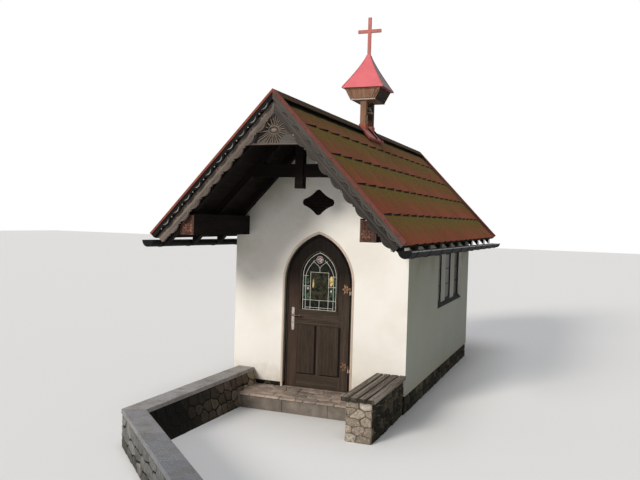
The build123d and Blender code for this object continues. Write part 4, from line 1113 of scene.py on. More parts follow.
class CHAPEL_OT_tiles(bpy.types.Operator):
    """Cover both slopes with tiles"""
    bl_idname = "chapel.tiles"
    bl_label = "Roof tiles"

    def tile(self, side, start, end, length, lift, ribs):
        """One tile drawn about its upper front corner, with its place in the course for the finish."""
        down, out = slope(side)
        # the raised lip ends three quarters along the tile, and the rest lies flat
        lip_end, flat_start, crest_half, crest_height = length * 0.76, length * 0.80, 0.007, 0.0035
        gap, butt = 0.003, 0.014
        crests = [(rib + 0.5) * length / ribs for rib in range(ribs)]
        stops = {0.0, length - gap, lip_end, flat_start}
        for crest in crests:
            stops |= {crest - crest_half, crest, crest + crest_half}
        rings, course = [], []
        for y in sorted(stops):
            raised = lift * min(1.0, y / lip_end) if y <= lip_end + 1e-6 else 0.0
            rib = crest_height if y in crests else 0.0
            # depths under the roof's plane at the head and at the lower edge
            top, bottom = 0.047 - rib * 0.6, 0.045 - raised - rib
            rings.append([
                Vector((0, y, 0)) + down * s - out * max(depth, COVER_DEPTH)
                for s, depth in ((start, top), (end, bottom), (end - gap, bottom + butt), (start, 0.058))
            ])
            course += [(y / length, 0.0), (y / length, 1.0), (y / length, 1.3), (y / length, 1.3)]
        shape = Shape()
        shape.rings(rings)
        return shape, course

    def execute(self, context):
        sizes = context.scene.chapel_sizes
        depth, length, rows = sizes.course_depth, sizes.tile_length, 4
        first = SLOPE_LENGTH - 0.012 - rows * depth
        front_y, start_y, rear_y = -3.534, -3.220, 3.04
        columns = int((rear_y - start_y) / length)
        end_y = start_y + columns * length
        turn, shift = (0, 0, radians(0.15)), (0, 0.0015, 0)
        for side, name in SIDES:
            down = slope(side)[0]
            for edge, low_y, wide, lift, ribs, count, top_name, seed in (
                ("", start_y, length, sizes.tile_lift, 5, columns, "top_tiles", sizes.seed),
                ("front_", front_y, start_y - front_y, 0.004, 4, 1, "top_tile", sizes.seed + 2),
                ("rear_", end_y, rear_y - end_y, 0.004, 4, 1, "top_tile", sizes.seed + 2),
            ):
                crown = Vector((0, low_y, RIDGE_Z))
                loose = turn, shift
                if edge:
                    loose = (0, 0, 0), (0, 0, 0)
                shape, course = self.tile(side, -0.012, depth, wide, lift, ribs)
                mesh = repeat(shape, "tile", crown + down * first, count, (0, wide, 0), rows, down * depth,
                              loose[0], loose[1], seed, course)
                place_piece(f"roof_{edge}tiles_{name}", mesh, "tile", "chapel",
                            [] if edge else ["roof_cover_" + name])
                shape, course = self.tile(side, 0.053, first, wide, lift, ribs)
                mesh = repeat(shape, "tile", crown, count, (0, wide, 0), shift=loose[1], seed=seed + 1,
                              layer=course)
                place_piece(f"roof_{edge}{top_name}_{name}", mesh, "tile", "chapel")
        return {"FINISHED"}


class CHAPEL_OT_ridge(bpy.types.Operator):
    """Fold the lapped joints of the ridge cap and set the nails of the verge sheet"""
    bl_idname = "chapel.ridge"
    bl_label = "Ridge joints"

    def execute(self, context):
        lap, nail = Shape(), Shape()
        for side in (-1, 1):
            down, out = slope(side)
            lap.rings([
                [Vector((0, y, 0)) + down * s + out * h
                 for s, h in ((0.001, -0.003), (0.001, w), (0.108, w), (0.110, w - 0.002), (0.110, -0.003))]
                for y, w in ((-0.02, 0.0), (-0.017, 0.0016), (0.017, 0.0016), (0.02, 0.0))
            ])
        mesh = repeat(lap, "ridge_sheet", (0, -3.05, RIDGE_Z - 0.0025), 7, (0, 0.98, 0), seed=4)
        place_piece("ridge_cap_laps", mesh, "ridge_sheet", "chapel")
        nail.lathe([(0, -0.002), (0.005, -0.002), (0.005, 0.001), (0.003, 0.003), (0, 0.0035)], upright(0, 0),
                   8)
        for side, name in SIDES:
            down, out = slope(side)
            start = Vector((0, VERGE_FRONT, RIDGE_Z)) + down * 0.16 - out * 0.013
            place_piece("verge_nails_" + name, repeat(nail, "iron", start, 10, down * 0.21, seed=5), "iron",
                        "chapel")
        dress("ridge_sheet", "ridge_cap")
        dress("verge_sheet", "verge_trim_front", "verge_trim_rear")
        return {"FINISHED"}


class CHAPEL_OT_verge_carving(bpy.types.Operator):
    """Carve and paint the fret board and the bargeboards"""
    bl_idname = "chapel.verge_carving"
    bl_label = "Verge carving"

    def execute(self, context):
        fret_face, barge_face, last = -3.552, -3.510, SLOPE_LENGTH - 0.02
        steps = [2 * share - 1 for share in shares(8)]
        for side, name in SIDES:
            right = side > 0
            first, pitch = FRONT_LOBES[side]
            fret, barge = Shape(), Shape()
            on_fret, on_barge = verge(side, fret_face), verge(side, barge_face)
            n = 0
            while first + pitch * n + 0.073 < last:
                middle = first + pitch * n
                outer = [(middle + 0.052 * t, 0.084 - 0.027 * t * t) for t in steps]
                inner = [(middle + 0.047 * t, 0.073 - 0.016 * t * t) for t in steps[1:-1]]
                # on the left slope the crescents and knobs are pale, painted light; on the right they take
                # dark wood and painted shade
                fret.prism(outer + inner[::-1], on_fret, -0.001, 0.0025, 0.0012, n % 3 / 3, 2 if right else 0)
                knob = middle + pitch / 2
                if knob + 0.02 < last:
                    fret.prism(circle((knob, 0.074), 0.0075, 12), on_fret, -0.001, 0.003, 0.001,
                               slot=1 if right else 0)
                    if right and n % 2:
                        barge.prism(circle((knob, 0.166), 0.005, 12), on_barge, -0.001, 0.004, 0.0015, slot=1)
                # two lines follow each lobe of the bargeboard
                for back, wide in ((0.013, 0.0052), (0.027, 0.0036)):
                    line = [(middle + (0.073 - back * 0.9) * t, 0.194 - back - 0.026 * t * t) for t in steps]
                    line = [(s, d) for s, d in line if s < 2.11]
                    if len(line) > 2:
                        barge.strip(line, came(wide, 0.0014 if right else 0.003), on_barge)
                n += 1
            wood = "charcoal_wood" if right else "silver_wood"
            finish_piece("fret_crescents_" + name, fret, "crescent groove charcoal_wood", "chapel")
            finish_piece("bargeboard_carving_" + name, barge, wood + " carving_paint", "chapel")
            dress(wood, "bargeboard_front_" + name)
        dress("fret_wood", "verge_fret_front")
        dress("silver_wood", "bargeboards_rear")
        return {"FINISHED"}


class CHAPEL_OT_gable_sun(bpy.types.Operator):
    """Carve the sun and its rays on the gable board"""
    bl_idname = "chapel.gable_sun"
    bl_label = "Gable sun"

    def execute(self, context):
        sun = Shape()
        board_face, board_foot, board_apex, margin = -3.482, 3.102, 3.5438, 0.030
        place = upright(0, board_face)
        centre, half_u, half_v, rays = (-0.004, 3.239), 0.060, 0.041, 14
        sun.prism(oval(centre, half_u * 0.45, half_v * 0.45, 24), place, -0.001, 0.006, 0.003)
        # a dark ring inside the rim: painted shade of the cut
        sun.strip(oval(centre, half_u * 0.78, half_v * 0.78, 24), came(0.006, 0.004), place, True, slot=1)
        sun.strip(oval(centre, half_u, half_v, 24), came(0.007, 0.005), place, True)
        room = board_apex - centre[1] - abs(centre[0]) * tan(PITCH) - margin
        for n in range(rays):
            turn = 2 * pi * n / rays + 0.12
            way = (cos(turn), sin(turn))
            # each ray ends inside the board's sloping edge or above its foot
            steep = abs(way[0]) * tan(PITCH) + way[1]
            reach = min(0.25 if n % 2 else 0.215, room / steep if steep > 0 else 9,
                        (centre[1] - board_foot) / -way[1] if way[1] < 0 else 9,
                        0.125 if way[0] > 0.55 else 0.17 if way[0] > 0 else 0.25)
            near = hypot(0.072 * way[0], 0.052 * way[1])
            # too short to be seen
            if reach - near < 0.02:
                continue
            # a dark line either side of each ray: painted shade of the cut
            for aside, slot in ((-0.010, 1), (0.0, 0), (0.010, 1)):
                sun.strip([turned(near, aside * 0.6, turn, centre), turned(reach, aside * 1.5, turn, centre)],
                          came(0.009, 0.0012 if slot else 0.005), place, slot=slot)
        sun.strip([(-0.405, 3.0935), (0.405, 3.0935)], came(0.008, 0.005), place)
        # the lobes of the left bargeboard stand clear of the board, so a painted shadow follows them as a
        # dark line
        first, pitch = FRONT_LOBES[-1]
        shadow = []
        for k in range(25):
            s = 0.250 + 0.318 * k / 24
            t = ((s - first) / pitch + 0.5) % 1 * 2 - 1
            shadow.append((s, 0.222 - 0.026 * t * t))
        sun.strip(shadow, came(0.034, 0.0014), verge(-1, board_face), slot=1)
        finish_piece("gable_sun_carving", sun, "gable_carving groove", "chapel")
        dress("gable_wood", "gable_board")
        return {"FINISHED"}


class CHAPEL_OT_eaves(bpy.types.Operator):
    """Roll the beads of the gutters and finish the open eaves"""
    bl_idname = "chapel.eaves"
    bl_label = "Eaves"

    def execute(self, context):
        # the outer rim, and how it falls from the front to the back: 62 mm in all
        bead_radius, rim_x, rim_z, fall, front_y = 0.0065, 1.482 + 0.069, 2.019, 0.00927, -3.59
        for side, name in SIDES:
            bead = Shape()
            path = [(side * rim_x, y, rim_z - fall * (y - front_y)) for y in (-3.588, 0.0, 3.094)]
            bead.tube(path, [bead_radius] * 3)
            finish_piece("gutter_bead_" + name, bead, "gutter_rim", "chapel")
        dress("gutter", "gutter_left", "gutter_right")
        dress("boarding", "roof_boards_left", "roof_boards_right")
        dress("rafter_wood", "rafters_left", "rafters_right")
        dress("plate_wood", "wall_plate_left", "wall_plate_right", "ridge_purlin")
        dress("truss_wood", "porch_truss")
        return {"FINISHED"}


class CHAPEL_OT_plate_ends(bpy.types.Operator):
    """Carve the flower panels on the ends of the wall plates"""
    bl_idname = "chapel.plate_ends"
    bl_label = "Plate ends"

    def execute(self, context):
        carving = Shape()
        plate_x, end_y, foot_z, petals = 1.06, -3.450, 2.092, 8
        for side in (-1, 1):
            place = upright(side * plate_x, end_y, foot_z)
            # the end is 180 mm wide, 239 mm high on its inner side and 123 mm on its outer side
            top_in, top_out, half, flat = 0.239 - 0.022, 0.123 - 0.014, side * 0.080, side * 0.020
            border = [(-half, 0.012), (half, 0.012), (half, top_out), (-flat, top_in), (-half, top_in)]
            carving.strip(border, came(0.008, 0.005), place, closed=True)
            carving.prism(inset(border, 0.006), place, -0.001, 0.0015, 0.0007, 0.5, 1)
            centre = (-side * 0.018, 0.082)
            for n, turn in enumerate(full_turn(petals)):
                petal = oval(centre, 0.021, 0.012, 8, turn, 0.037)
                carving.prism(petal, place, -0.001, 0.005, 0.002, n / petals)
            carving.lathe([(0, -0.001), (0.011, -0.001), (0.010, 0.005), (0.005, 0.008), (0, 0.009)],
                          upright(side * plate_x + centre[0], end_y, foot_z + centre[1]), 12)
            stem = [(centre[0] + 0.020 * t, 0.166 + 0.02 * sin(2.2 * t))
                    for t in (-1.6, -1.0, -0.4, 0.2, 0.8)]
            carving.strip(stem, came(0.006, 0.004), place)
        finish_piece("plate_end_carving", carving, "plate_carving plate_panel", "chapel")
        return {"FINISHED"}


# Turret

class CHAPEL_OT_turret(bpy.types.Operator):
    """Board the turret's box, lay its curb and fold the seams of the spire"""
    bl_idname = "chapel.turret"
    bl_label = "Turret"

    def box(self):
        boards, rim = Shape(), Shape()
        low, high, courses = 4.059, 4.224, 4
        for sign in (-1, 1):
            up = Vector((0, sign * 0.020, high - low))
            place = facing((0, TURRET_Y + sign * 0.235, low), (-sign, 0, 0), up.normalized())
            height = up.length
            # shield board: straight head, sides scooped in towards the foot
            half = [(0.150, 0.0), (0.168, 0.016), (0.176, 0.045), (0.190, 0.072), (0.214, 0.092),
                    (0.224, 0.118), (0.252, 0.140), (0.262, height - 0.004)]
            boards.prism([(-u, v) for u, v in half[::-1]] + half, place, 0.0, 0.009, 0.003, 0.6)
            border = [(-0.135, 0.018), (0.135, 0.018), (0.205, height - 0.02), (-0.205, height - 0.02)]
            # a dark border inside each shield board: painted shadow line
            boards.strip(border, came(0.006, 0.012), place, closed=True, tone=0.2, slot=1)
        for sign in (-1, 1):
            up = Vector((sign * 0.086, 0, high - low))
            place = facing((sign * 0.185, TURRET_Y, low), (0, sign, 0), up.normalized())
            step = up.length / courses
            for n in range(courses):
                wide = 0.232 + 0.02 * n / courses
                board = rectangle(-wide, n * step + 0.0015, wide, n * step + step - 0.0015)
                # the side boards take the shaded copy: painted shade
                boards.prism(board, place, 0, 0.005, 0.002, n / courses, 1)
        finish_piece("turret_boards", boards, "turret_wood turret_dark", "chapel")
        for y in (-0.240, 0.240):
            rim.strip([(-0.187, y), (0.187, y)],
                      [(-0.008, -0.006), (0.008, -0.006), (0.008, 0.008), (0, 0.012), (-0.008, 0.008)],
                      level(0, TURRET_Y, low))
        finish_piece("turret_foot_rim", rim, "rim_paint", "chapel")

    def spire(self):
        seams = Shape()
        steps, hollow = shares(10), 1.2
        tip, half_x, half_y, foot, rise = 0.025, 0.304, 0.285, 4.241, 0.498
        for sx, sy in ((-1, -1), (-1, 1), (1, -1), (1, 1)):
            path = []
            for t in steps:
                share = (1 - t) ** hollow
                path.append((sx * (tip + (half_x - tip) * share),
                             TURRET_Y + sy * (tip + (half_y - tip) * share), foot + rise * t))
            seams.tube(path, [0.0065 - 0.002 * t for t in steps], 6)
        seams.strip(rectangle(-half_x, -half_y, half_x, half_y),
                    [(-0.007, -0.010), (0.001, -0.010), (0.004, -0.002), (0.001, 0.006), (-0.007, 0.006)],
                    level(0, TURRET_Y, 4.236), True)
        finish_piece("spire_seams", seams, "spire_sheet", "chapel")

    def feet(self):
        curb, seams, half = Shape(), Shape(), 0.052
        for sign in (-1, 1):
            outline = [(-half, 3.60), (-half, 3.700), (-0.046, 3.712), (0.046, 3.712), (half, 3.700),
                       (half, 3.60)]
            curb.prism(outline, upright(0, TURRET_Y + sign * 0.17), -half, half, 0.004)
        finish_piece("turret_curbs", curb, "curb", "chapel")
        for side in (-1, 1):
            down, out = slope(side)
            for y in (TURRET_Y - 0.01, TURRET_Y + 0.25):
                origin = Vector((0, y, RIDGE_Z)) + out * 0.0005
                seams.prism(rectangle(-0.014, 0.0, 0.014, 0.228),
                            lambda u, v, w: origin + Vector((0, u, 0)) + down * v + out * w,
                            0.006, 0.032, 0.004)
        finish_piece("flashing_seams", seams, "iron", "chapel")

    def execute(self, context):
        self.box()
        self.spire()
        self.feet()
        dress("turret_wood", "turret_box")
        dress("post_wood", "turret_posts")
        dress("flashing", "turret_saddle")
        dress("spire_sheet", "turret_spire")
        dress("cross_steel", "roof_cross")
        return {"FINISHED"}


class CHAPEL_OT_bell(bpy.types.Operator):
    """Turn the bell's mouldings"""
    bl_idname = "chapel.bell"
    bl_label = "Bell"

    def execute(self, context):
        bands = Shape()
        for radius, height, half in ((0.0842, 0.006, 0.005), (0.0800, 0.018, 0.0022), (0.0625, 0.052, 0.0022),
                                     (0.0545, 0.090, 0.0022)):
            ridge = [(-0.002, height - half), (0.0012, height), (-0.002, height + half)]
            bands.strip(circle((0, 0), radius, 32), ridge, level(0, TURRET_Y, 3.877), True)
        finish_piece("bell_bands", bands, "bell_lip", "bell")
        dress("bell", "bell")
        dress("iron", "bell_yoke", "bell_clapper")
        return {"FINISHED"}


class CHAPEL_OT_vent(bpy.types.Operator):
    """Fit the vent's moulded edge and its louvre blades"""
    bl_idname = "chapel.vent"
    bl_label = "Gable vent"

    def execute(self, context):
        trim, blades = Shape(), Shape()
        place = upright(-0.024, -2.092, 2.521)
        half_u, half_v, hollow = 0.210, 0.159, 0.012
        path = []
        for here, after in edges([(half_u, 0), (0, half_v), (-half_u, 0), (0, -half_v)]):
            for t in shares(7)[1:-1]:
                u, v = between(here, after, t)
                pull = 1 - hollow * 1.6 * sin(pi * t) / hypot(u, v)
                path.append((u * pull * 0.93, v * pull * 0.93))
        trim.strip(path, arc((0, 0), 0.006, 0, pi, 5), place, True)
        blade = [(0.011, 0), (0.003, 0.005), (-0.011, 0.0015), (-0.011, 0)]
        for n in range(7):
            v = -0.108 + 0.036 * n
            reach = half_u * (1 - abs(v) / half_v) * 0.86
            blades.strip([(-reach, v), (reach, v)], blade, place)
        finish_piece("vent_moulding", trim, "plate_wood", "chapel")
        finish_piece("vent_blades", blades, "plate_wood", "chapel")
        # the nearly black stained timber here also stands as painted shade in the opening
        dress("plate_wood", "gable_vent")
        return {"FINISHED"}


# Door

FRONT, GLASS = upright(0, LEAF_FACE), upright(0, GLASS_FACE)


class CHAPEL_OT_door_joinery(bpy.types.Operator):
    """Fit the door's stiles, rails, panel mouldings and glazing bead"""
    bl_idname = "chapel.door_joinery"
    bl_label = "Door joinery"

    def execute(self, context):
        # boards lie 1.8 mm proud of the leaf
        board = (-0.001, 0.0018, 0.001)
        heights = [0.190, 0.5, 1.0, 1.3, DOOR_SPRING, 1.60, 1.68, 1.76, 1.83, 1.89]
        for side, name, key in ((-1, "lock", "door_red"), (1, "hinge", "door_wood")):
            stile = Shape()
            outer = [(side * (arch_half(v, 0.410, DOOR_SPRING, DOOR_SHIFT) - 0.003), v) for v in heights]
            stile.prism(outer + [(side * 0.279, heights[-1]), (side * 0.279, heights[0])], FRONT, *board)
            finish_piece(f"door_{name}_stile", stile, key, "door")

        rails = Shape()
        for low, high in ((0.190, 0.350), (1.013, 1.112)):
            rails.prism(rectangle(-0.277, low, 0.277, high), FRONT, *board)
        drip = [(0.012, 0), (0.014, 0.010), (0.010, 0.0135), (-0.008, 0.0125), (-0.012, 0.006), (-0.012, 0)]
        rails.strip([(-0.300, 0.998), (0.283, 0.998)], drip, FRONT)
        ogee = [(0.022, 0), (0.022, 0.010), (0.010, 0.012), (0.004, 0.006), (-0.012, 0.005), (-0.022, 0.002),
                (-0.022, 0)]
        rails.strip([(-0.262, 1.140), (0.262, 1.140)], ogee, FRONT)
        finish_piece("door_rails", rails, "door_rail", "door")

        panels = Shape()
        sunk = upright(0, LEAF_FACE + 0.016)
        # raised fields, each with a dark strip on its hinge side and under it: painted shadow of the field
        for low, high in ((-0.272, -0.036), (0.040, 0.284)):
            panels.prism(rectangle(low, 0.356, high + 0.020, 0.974), sunk, 0.001, 0.0185, 0.001, slot=1)
            panels.prism(rectangle(low, 0.366, high - 0.001, 0.974), sunk, 0.002, 0.031, 0.005)
        finish_piece("door_panels", panels, "door_panel groove", "door")

        bead = Shape()
        round_edge = [(-0.009, 0), (0.009, 0), (0.009, 0.003), (0.003, 0.0085), (-0.004, 0.0075),
                      (-0.009, 0.002)]
        bead.strip(arch_path(0.246, 1.162, 1.588, LIGHT_SHIFT), round_edge, FRONT, True)
        finish_piece("door_glazing_bead", bead, "door_rail", "door")
        dress("door_wood", "door_leaf")
        dress("frame_wood", "door_frame")
        return {"FINISHED"}


class CHAPEL_OT_door_band(bpy.types.Operator):
    """Run the rounded band round the doorway"""
    bl_idname = "chapel.door_band"
    bl_label = "Door band"

    def execute(self, context):
        band, feet = Shape(), Shape()
        wall = upright(0, FRONT_Y)
        band.strip(arch_path(0.463, 0.232, DOOR_SPRING, DOOR_SHIFT, 20),
                   [(-0.0125, -0.004), (0.016, -0.004), (0.016, 0.001), (0.006, 0.008), (-0.004, 0.008),
                    (-0.0125, 0.002)], wall)
        finish_piece("door_band", band, "band", "chapel")
        for side in (-1, 1):
            feet.prism(rectangle(side * 0.451, 0.170, side * 0.479, 0.2315), wall, -0.018, 0.006, 0.004)
        finish_piece("door_band_feet", feet, "band", "chapel")
        return {"FINISHED"}


class CHAPEL_OT_door_light(bpy.types.Operator):
    """Lead the door's light and set its coloured panes"""
    bl_idname = "chapel.door_light"
    bl_label = "Door light"
    rose = (-0.004, 1.806)

    def leading(self, wide):
        lead = Shape()
        half, profile, thin = 0.222, came(wide, 0.004), came(wide * 0.8, 0.0035)
        lead.strip(arch_path(half, 1.175, LIGHT_SPRING, LIGHT_SHIFT), came(wide * 1.15, 0.005), GLASS, True)
        for u, low, high in ((-0.187, 1.178, 1.600), (0.187, 1.178, 1.600), (-0.121, 1.178, 1.650),
                             (0.121, 1.178, 1.650), (0.0, 1.178, 1.295), (0.0, 1.646, 1.700)):
            lead.strip([(u, low), (u, high)], profile, GLASS)
        inside = arch_half(1.6, half, LIGHT_SPRING, LIGHT_SHIFT)
        for v, low, high in ((1.202, -0.187, 0.187), (1.295, -0.218, 0.218), (1.646, -0.121, 0.121),
                             (1.470, -0.218, -0.121), (1.470, 0.121, 0.218), (1.600, -inside, -0.155),
                             (1.600, 0.155, inside)):
            lead.strip([(low, v), (high, v)], thin, GLASS)
        # tracery: two side arches lean on the middle one, which forks
        for side in (-1, 1):
            arch = [(side * (0.187 - 0.124 * t + 0.018 * sin(pi * t)), 1.600 + 0.200 * t ** 0.9)
                    for t in shares(8)]
            lead.strip(arch, profile, GLASS)
            fork = [(side * 0.098 * t ** 1.3, 1.700 + 0.088 * t) for t in shares(6)]
            lead.strip(fork, thin, GLASS)
        lead.strip(circle(self.rose, 0.044, 20), thin, GLASS, True)
        finish_piece("door_leading", lead, "lead", "door")

    def panes(self):
        panes = Shape()
        amber, rose, green, smoke = range(4)
        outlines = [(oval(self.rose, 0.015, 0.010, 8, turn, 0.024), rose) for turn in full_turn(6)]
        outlines += [(circle(self.rose, 0.008, 10), amber), (rectangle(-0.117, 1.300, 0.117, 1.641), smoke)]
        for side in (-1, 1):
            for near, far, low, high in ((0.126, 0.182, 1.300, 1.465), (0.192, 0.217, 1.300, 1.465),
                                         (0.192, 0.217, 1.475, 1.590)):
                left, right = sorted((side * near, side * far))
                outlines.append((rectangle(left, low, right, high), green))
        for outline, slot in outlines:
            panes.prism(outline, GLASS, 0.0002, 0.0018, 0.0006, 0.5, slot)
        # leaves on the panes, in a plain border pattern
        for u, v, half_u, half_v, slot in (
            (0.155, 1.542, 0.032, 0.062, amber), (-0.157, 1.530, 0.022, 0.040, green),
            (-0.084, 1.500, 0.015, 0.055, amber), (-0.157, 1.440, 0.016, 0.016, rose),
            (0.157, 1.420, 0.016, 0.016, rose),
        ):
            leaf = [(u + half_u * cos(t) * (0.75 + 0.25 * abs(sin(t))), v + half_v * sin(t))
                    for t in full_turn(12)]
            panes.prism(leaf, GLASS, 0.0015, 0.0030, 0.0008, 0.5, slot)
        finish_piece("door_coloured_panes", panes, "glass_amber glass_rose glass_green glass_smoke", "door")

    def execute(self, context):
        wide = context.scene.chapel_sizes.lead_width
        self.leading(wide)
        self.panes()
        # generic diamond of leading in the middle pane
        diamond = Shape()
        diamond.strip([(0, 1.338), (0.078, 1.470), (0, 1.602), (-0.078, 1.470)], came(wide * 0.7, 0.0042),
                      GLASS, True)
        finish_piece("door_light_diamond", diamond, "lead_dark", "door")
        dress("door_glass", "door_glass")
        return {"FINISHED"}


class CHAPEL_OT_ironmongery(bpy.types.Operator):
    """Set the studs of the hinges and the screws and keyhole of the lock plate"""
    bl_idname = "chapel.ironmongery"
    bl_label = "Hinges and lock"

    def execute(self, context):
        studs, holes, screws = Shape(), Shape(), Shape()
        strap_face, leaf_face = -2.081, -2.0652
        for z in (0.4955, 1.4565):
            for u, v in ((0.344, 0), (0.365, 0.021), (0.365, -0.021), (0.392, 0)):
                studs.lathe([(0, -0.002), (0.0055, -0.002), (0.0055, 0.001), (0.0035, 0.0032), (0, 0.004)],
                            upright(u, strap_face, z + v), 10)
            leaf_base = upright(0.362, leaf_face, z)
            for turn, long in ((66, 0.060), (112, 0.074), (180, 0.060), (248, 0.074), (294, 0.060)):
                leaf = [(0.006, 0.005), (long * 0.45, 0.0135), (long * 0.7, 0.010), (long, 0.0)]
                leaf = [(a, -b) for a, b in leaf[:-1]] + leaf[::-1]
                studs.prism([turned(a, b, radians(turn)) for a, b in leaf], leaf_base, 0.0, 0.0048, 0.0022)
            curl = arc((-0.006, 0.052), 0.010, radians(-60), radians(200), 9)
            studs.strip(curl, came(0.005, 0.004), leaf_base)
        finish_piece("hinge_leaves", studs, "brass", "door")
        lock_x, plate_face = -0.342, -2.0640
        hole = arc((0, 1.004), 0.0045, radians(-50), radians(230), 8) + [(-0.0032, 0.984), (0.0032, 0.984)]
        holes.prism(hole, upright(lock_x, plate_face), -0.0005, 0.0006, 0.0002)
        finish_piece("keyhole", holes, "iron", "door")
        for z in (0.915, 1.179):
            screws.lathe([(0, -0.001), (0.0042, -0.001), (0.0042, 0.0006), (0.0026, 0.0016), (0, 0.0018)],
                         upright(lock_x, plate_face, z), 10)
        finish_piece("lock_plate_screws", screws, "plate", "door")
        dress("brass", "hinge_straps")
        dress("pale_brass", "hinge_brackets")
        dress("lever_brass", "door_lever")
        dress("plate", "lock_plates")
        return {"FINISHED"}


class CHAPEL_OT_side_lights(bpy.types.Operator):
    """Fit the frames, bars and sloping sills of the side lights"""
    bl_idname = "chapel.side_lights"
    bl_label = "Side lights"

    def execute(self, context):
        high, half, pane_x, foot_z = 0.70, 0.209, 1.0945, 1.153
        section = [(1.096, 1.1495), (1.096, 1.1575), (1.158, 1.1125), (1.158, 1.098), (1.1505, 1.098),
                   (1.1505, 1.1095)]
        for side, name in SIDES:
            bars, sill = Shape(), Shape()
            place = upright(side * pane_x, 0, foot_z, (0, side, 0))
            sash = [(-0.012, 0), (0.012, 0), (0.012, 0.011), (0.004, 0.013), (-0.012, 0.010)]
            bars.strip(rectangle(-half + 0.012, 0.012, half - 0.012, high - 0.009), sash, place, True)
            for v in (0.235, 0.465):
                bars.strip([(-half + 0.02, v), (half - 0.02, v)], came(0.009, 0.008), place)
            mesh = repeat(bars, "sash", (0, -0.17, 0), 3, (0, 0.685, 0), seed=3)
            place_piece("side_light_bars_" + name, mesh, "sash", "chapel")
            sill.rings([[(side * x, y, z) for x, z in section] for y in (-0.378, 0.515, 1.408)])
            finish_piece("side_light_sill_" + name, sill, "gutter", "chapel")
        dress("window_glass", "window_panes_left", "window_panes_right")
        return {"FINISHED"}


class CHAPEL_OT_bench(bpy.types.Operator):
    """Lay the bench slats"""
    bl_idname = "chapel.bench"
    bl_label = "Bench slats"

    def execute(self, context):
        slat, bolt = Shape(), Shape()
        wide, thick, worn, first_x, pitch, seat_z = 0.079, 0.045, 0.005, 0.793, 0.09675, 0.435
        section = [(0, 0.002), (0.002, 0), (wide - 0.002, 0), (wide, 0.002), (wide, thick - worn),
                   (wide - worn, thick), (wide / 2, thick - 0.0012), (worn, thick), (0, thick - worn)]
        low, high = -3.385, -2.106
        # the ends are drawn in by a chamfer
        slat.rings([
            [(wide / 2 + (u - wide / 2) * (1 - pull / wide), y, v if v > 0.02 else v + pull * 0.3)
             for u, v in section]
            for y, pull in ((low, 0.004), (low + 0.004, 0), (-3.0, 0), (-2.75, 0), (-2.45, 0),
                            (high - 0.004, 0), (high, 0.004))
        ])
        mesh = repeat(slat, "slat_wood", (first_x, 0, seat_z), 4, (pitch, 0, 0), seed=6)
        place_piece("bench_slat_boards", mesh, "slat_wood", "chapel", ["bench_slats"])
        bolt.lathe([(0, -0.002), (0.008, -0.002), (0.008, 0.001), (0.005, 0.0032), (0, 0.004)],
                   level(0, 0, 0), 10)
        mesh = repeat(bolt, "iron", (first_x + wide / 2, -3.28, 0.4785), 4, (pitch, 0, 0), 2, (0, 1.06, 0),
                      seed=6)
        place_piece("bench_bolts", mesh, "iron", "chapel")
        return {"FINISHED"}


class CHAPEL_OT_walls(bpy.types.Operator):
    """Finish the plaster, the sill and the floor"""
    bl_idname = "chapel.walls"
    bl_label = "Walls and floor"

    def execute(self, context):
        dress("plaster", "front_wall_left", "front_wall_right", "front_gable", "left_wall", "right_wall",
              "back_wall")
        dress("flag", "door_sill")
        dress("riser", "floor_slab")
        return {"FINISHED"}


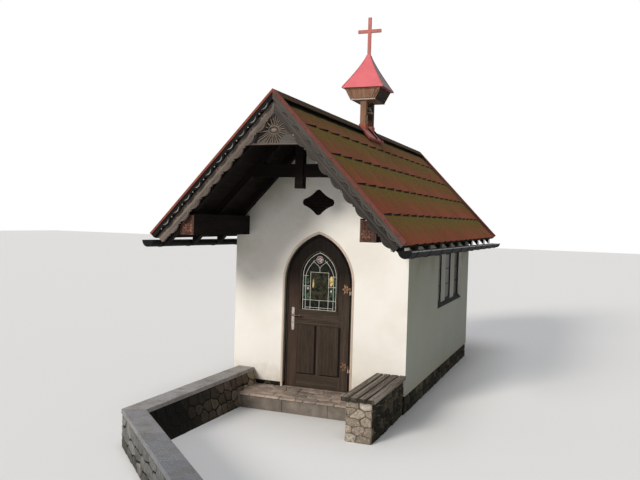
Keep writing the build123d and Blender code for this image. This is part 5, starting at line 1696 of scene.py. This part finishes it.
class CHAPEL_OT_stage(bpy.types.Operator):
    """Set the floor, the lights, the world and the camera"""
    bl_idname = "chapel.stage"
    bl_label = "Stage"

    def floor(self, scene):
        mesh = bpy.data.meshes.new("floor")
        reach = 60.0
        mesh.from_pydata([(u, v, 0) for u, v in rectangle(-reach, -reach, reach, reach)], [], [(0, 1, 2, 3)])
        paper = Finish("studio_floor", 0.9)
        paper.shader.inputs["Base Color"].default_value = colour("#e6e5e2")
        mesh.materials.append(paper.material)
        floor = bpy.data.objects.new("floor", mesh)
        scene.collection.objects.link(floor)

    def world(self, scene):
        scene.world = world = bpy.data.worlds.new("studio")
        world.use_nodes = True
        tree = world.node_tree
        tree.nodes.clear()
        path = add_node(tree, "LightPath", output=None).outputs
        seen = add_node(tree, "Math", {0: path["Is Camera Ray"], 1: path["Is Glossy Ray"]},
                        operation="MAXIMUM")
        seen = add_node(tree, "Math", {0: seen, 1: path["Is Transmission Ray"]}, operation="MAXIMUM")
        ambient = add_node(tree, "Background", {"Color": colour("#eef1f5"), "Strength": 0.26})
        backdrop = add_node(tree, "Background", {"Color": (1, 1, 1, 1), "Strength": 1.0})
        both = add_node(tree, "MixShader", {0: seen, 1: ambient, 2: backdrop})
        add_node(tree, "OutputWorld", {"Surface": both}, None)

    def lights(self, scene):
        for name, turn, energy, spread, tone in (
            ("key", (66, 0, -22), 2.55, 17, "#fffaf3"),
            ("top", (12, 0, 10), 1.25, 40, "#f6f8ff"),
        ):
            lamp = bpy.data.lights.new(name, "SUN")
            lamp.energy, lamp.angle, lamp.color = energy, radians(spread), colour(tone)[:3]
            light = bpy.data.objects.new(name, lamp)
            light.rotation_euler = [radians(angle) for angle in turn]
            scene.collection.objects.link(light)

    def camera(self, scene):
        lens = bpy.data.cameras.new("camera")
        lens.lens, lens.sensor_width = 39.49, 36.0
        eye = bpy.data.objects.new("camera", lens)
        scene.collection.objects.link(eye)
        turn, tilt, roll = [Matrix.Rotation(radians(angle), 4, axis)
                            for angle, axis in ((21.39, "Z"), (90 - 1.67, "X"), (1.64, "Z"))]
        eye.matrix_world = Matrix.Translation((3.1895, -10.2163, 2.3091)) @ (turn @ tilt @ roll)
        scene.camera = eye

    def execute(self, context):
        scene = context.scene
        self.floor(scene)
        self.world(scene)
        self.lights(scene)
        self.camera(scene)
        scene.view_settings.view_transform = "Standard"
        return {"FINISHED"}


OPERATORS = (
    CHAPEL_OT_rubble, CHAPEL_OT_coping, CHAPEL_OT_doorstep, CHAPEL_OT_tiles, CHAPEL_OT_ridge,
    CHAPEL_OT_verge_carving, CHAPEL_OT_gable_sun, CHAPEL_OT_eaves, CHAPEL_OT_plate_ends, CHAPEL_OT_turret,
    CHAPEL_OT_bell, CHAPEL_OT_vent, CHAPEL_OT_door_joinery, CHAPEL_OT_door_band, CHAPEL_OT_door_light,
    CHAPEL_OT_ironmongery, CHAPEL_OT_side_lights, CHAPEL_OT_bench, CHAPEL_OT_walls, CHAPEL_OT_stage,
)


class CHAPEL_PT_panel(bpy.types.Panel):
    """Sizes, colours and steps of the chapel's dressing"""
    bl_idname = "CHAPEL_PT_panel"
    bl_label = "Wayside Chapel"
    bl_space_type = "VIEW_3D"
    bl_region_type = "UI"
    bl_category = "Chapel"

    def draw(self, context):
        for group in (context.scene.chapel_sizes, context.scene.chapel_colours):
            box = self.layout.box()
            for name in type(group).__annotations__:
                box.prop(group, name)
        for operator in OPERATORS:
            self.layout.operator(operator.bl_idname)


CLASSES = (ChapelSizes, ChapelColours) + OPERATORS + (CHAPEL_PT_panel,)


def register():
    for each in CLASSES:
        bpy.utils.register_class(each)
    bpy.types.Scene.chapel_sizes = bpy.props.PointerProperty(type=ChapelSizes)
    bpy.types.Scene.chapel_colours = bpy.props.PointerProperty(type=ChapelColours)


def unregister():
    del bpy.types.Scene.chapel_colours
    del bpy.types.Scene.chapel_sizes
    for each in reversed(CLASSES):
        bpy.utils.unregister_class(each)


def main():
    register()
    for operator in OPERATORS:
        group, name = operator.bl_idname.split(".")
        getattr(getattr(bpy.ops, group), name)()
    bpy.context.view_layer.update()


if __name__ == "__main__":
    main()
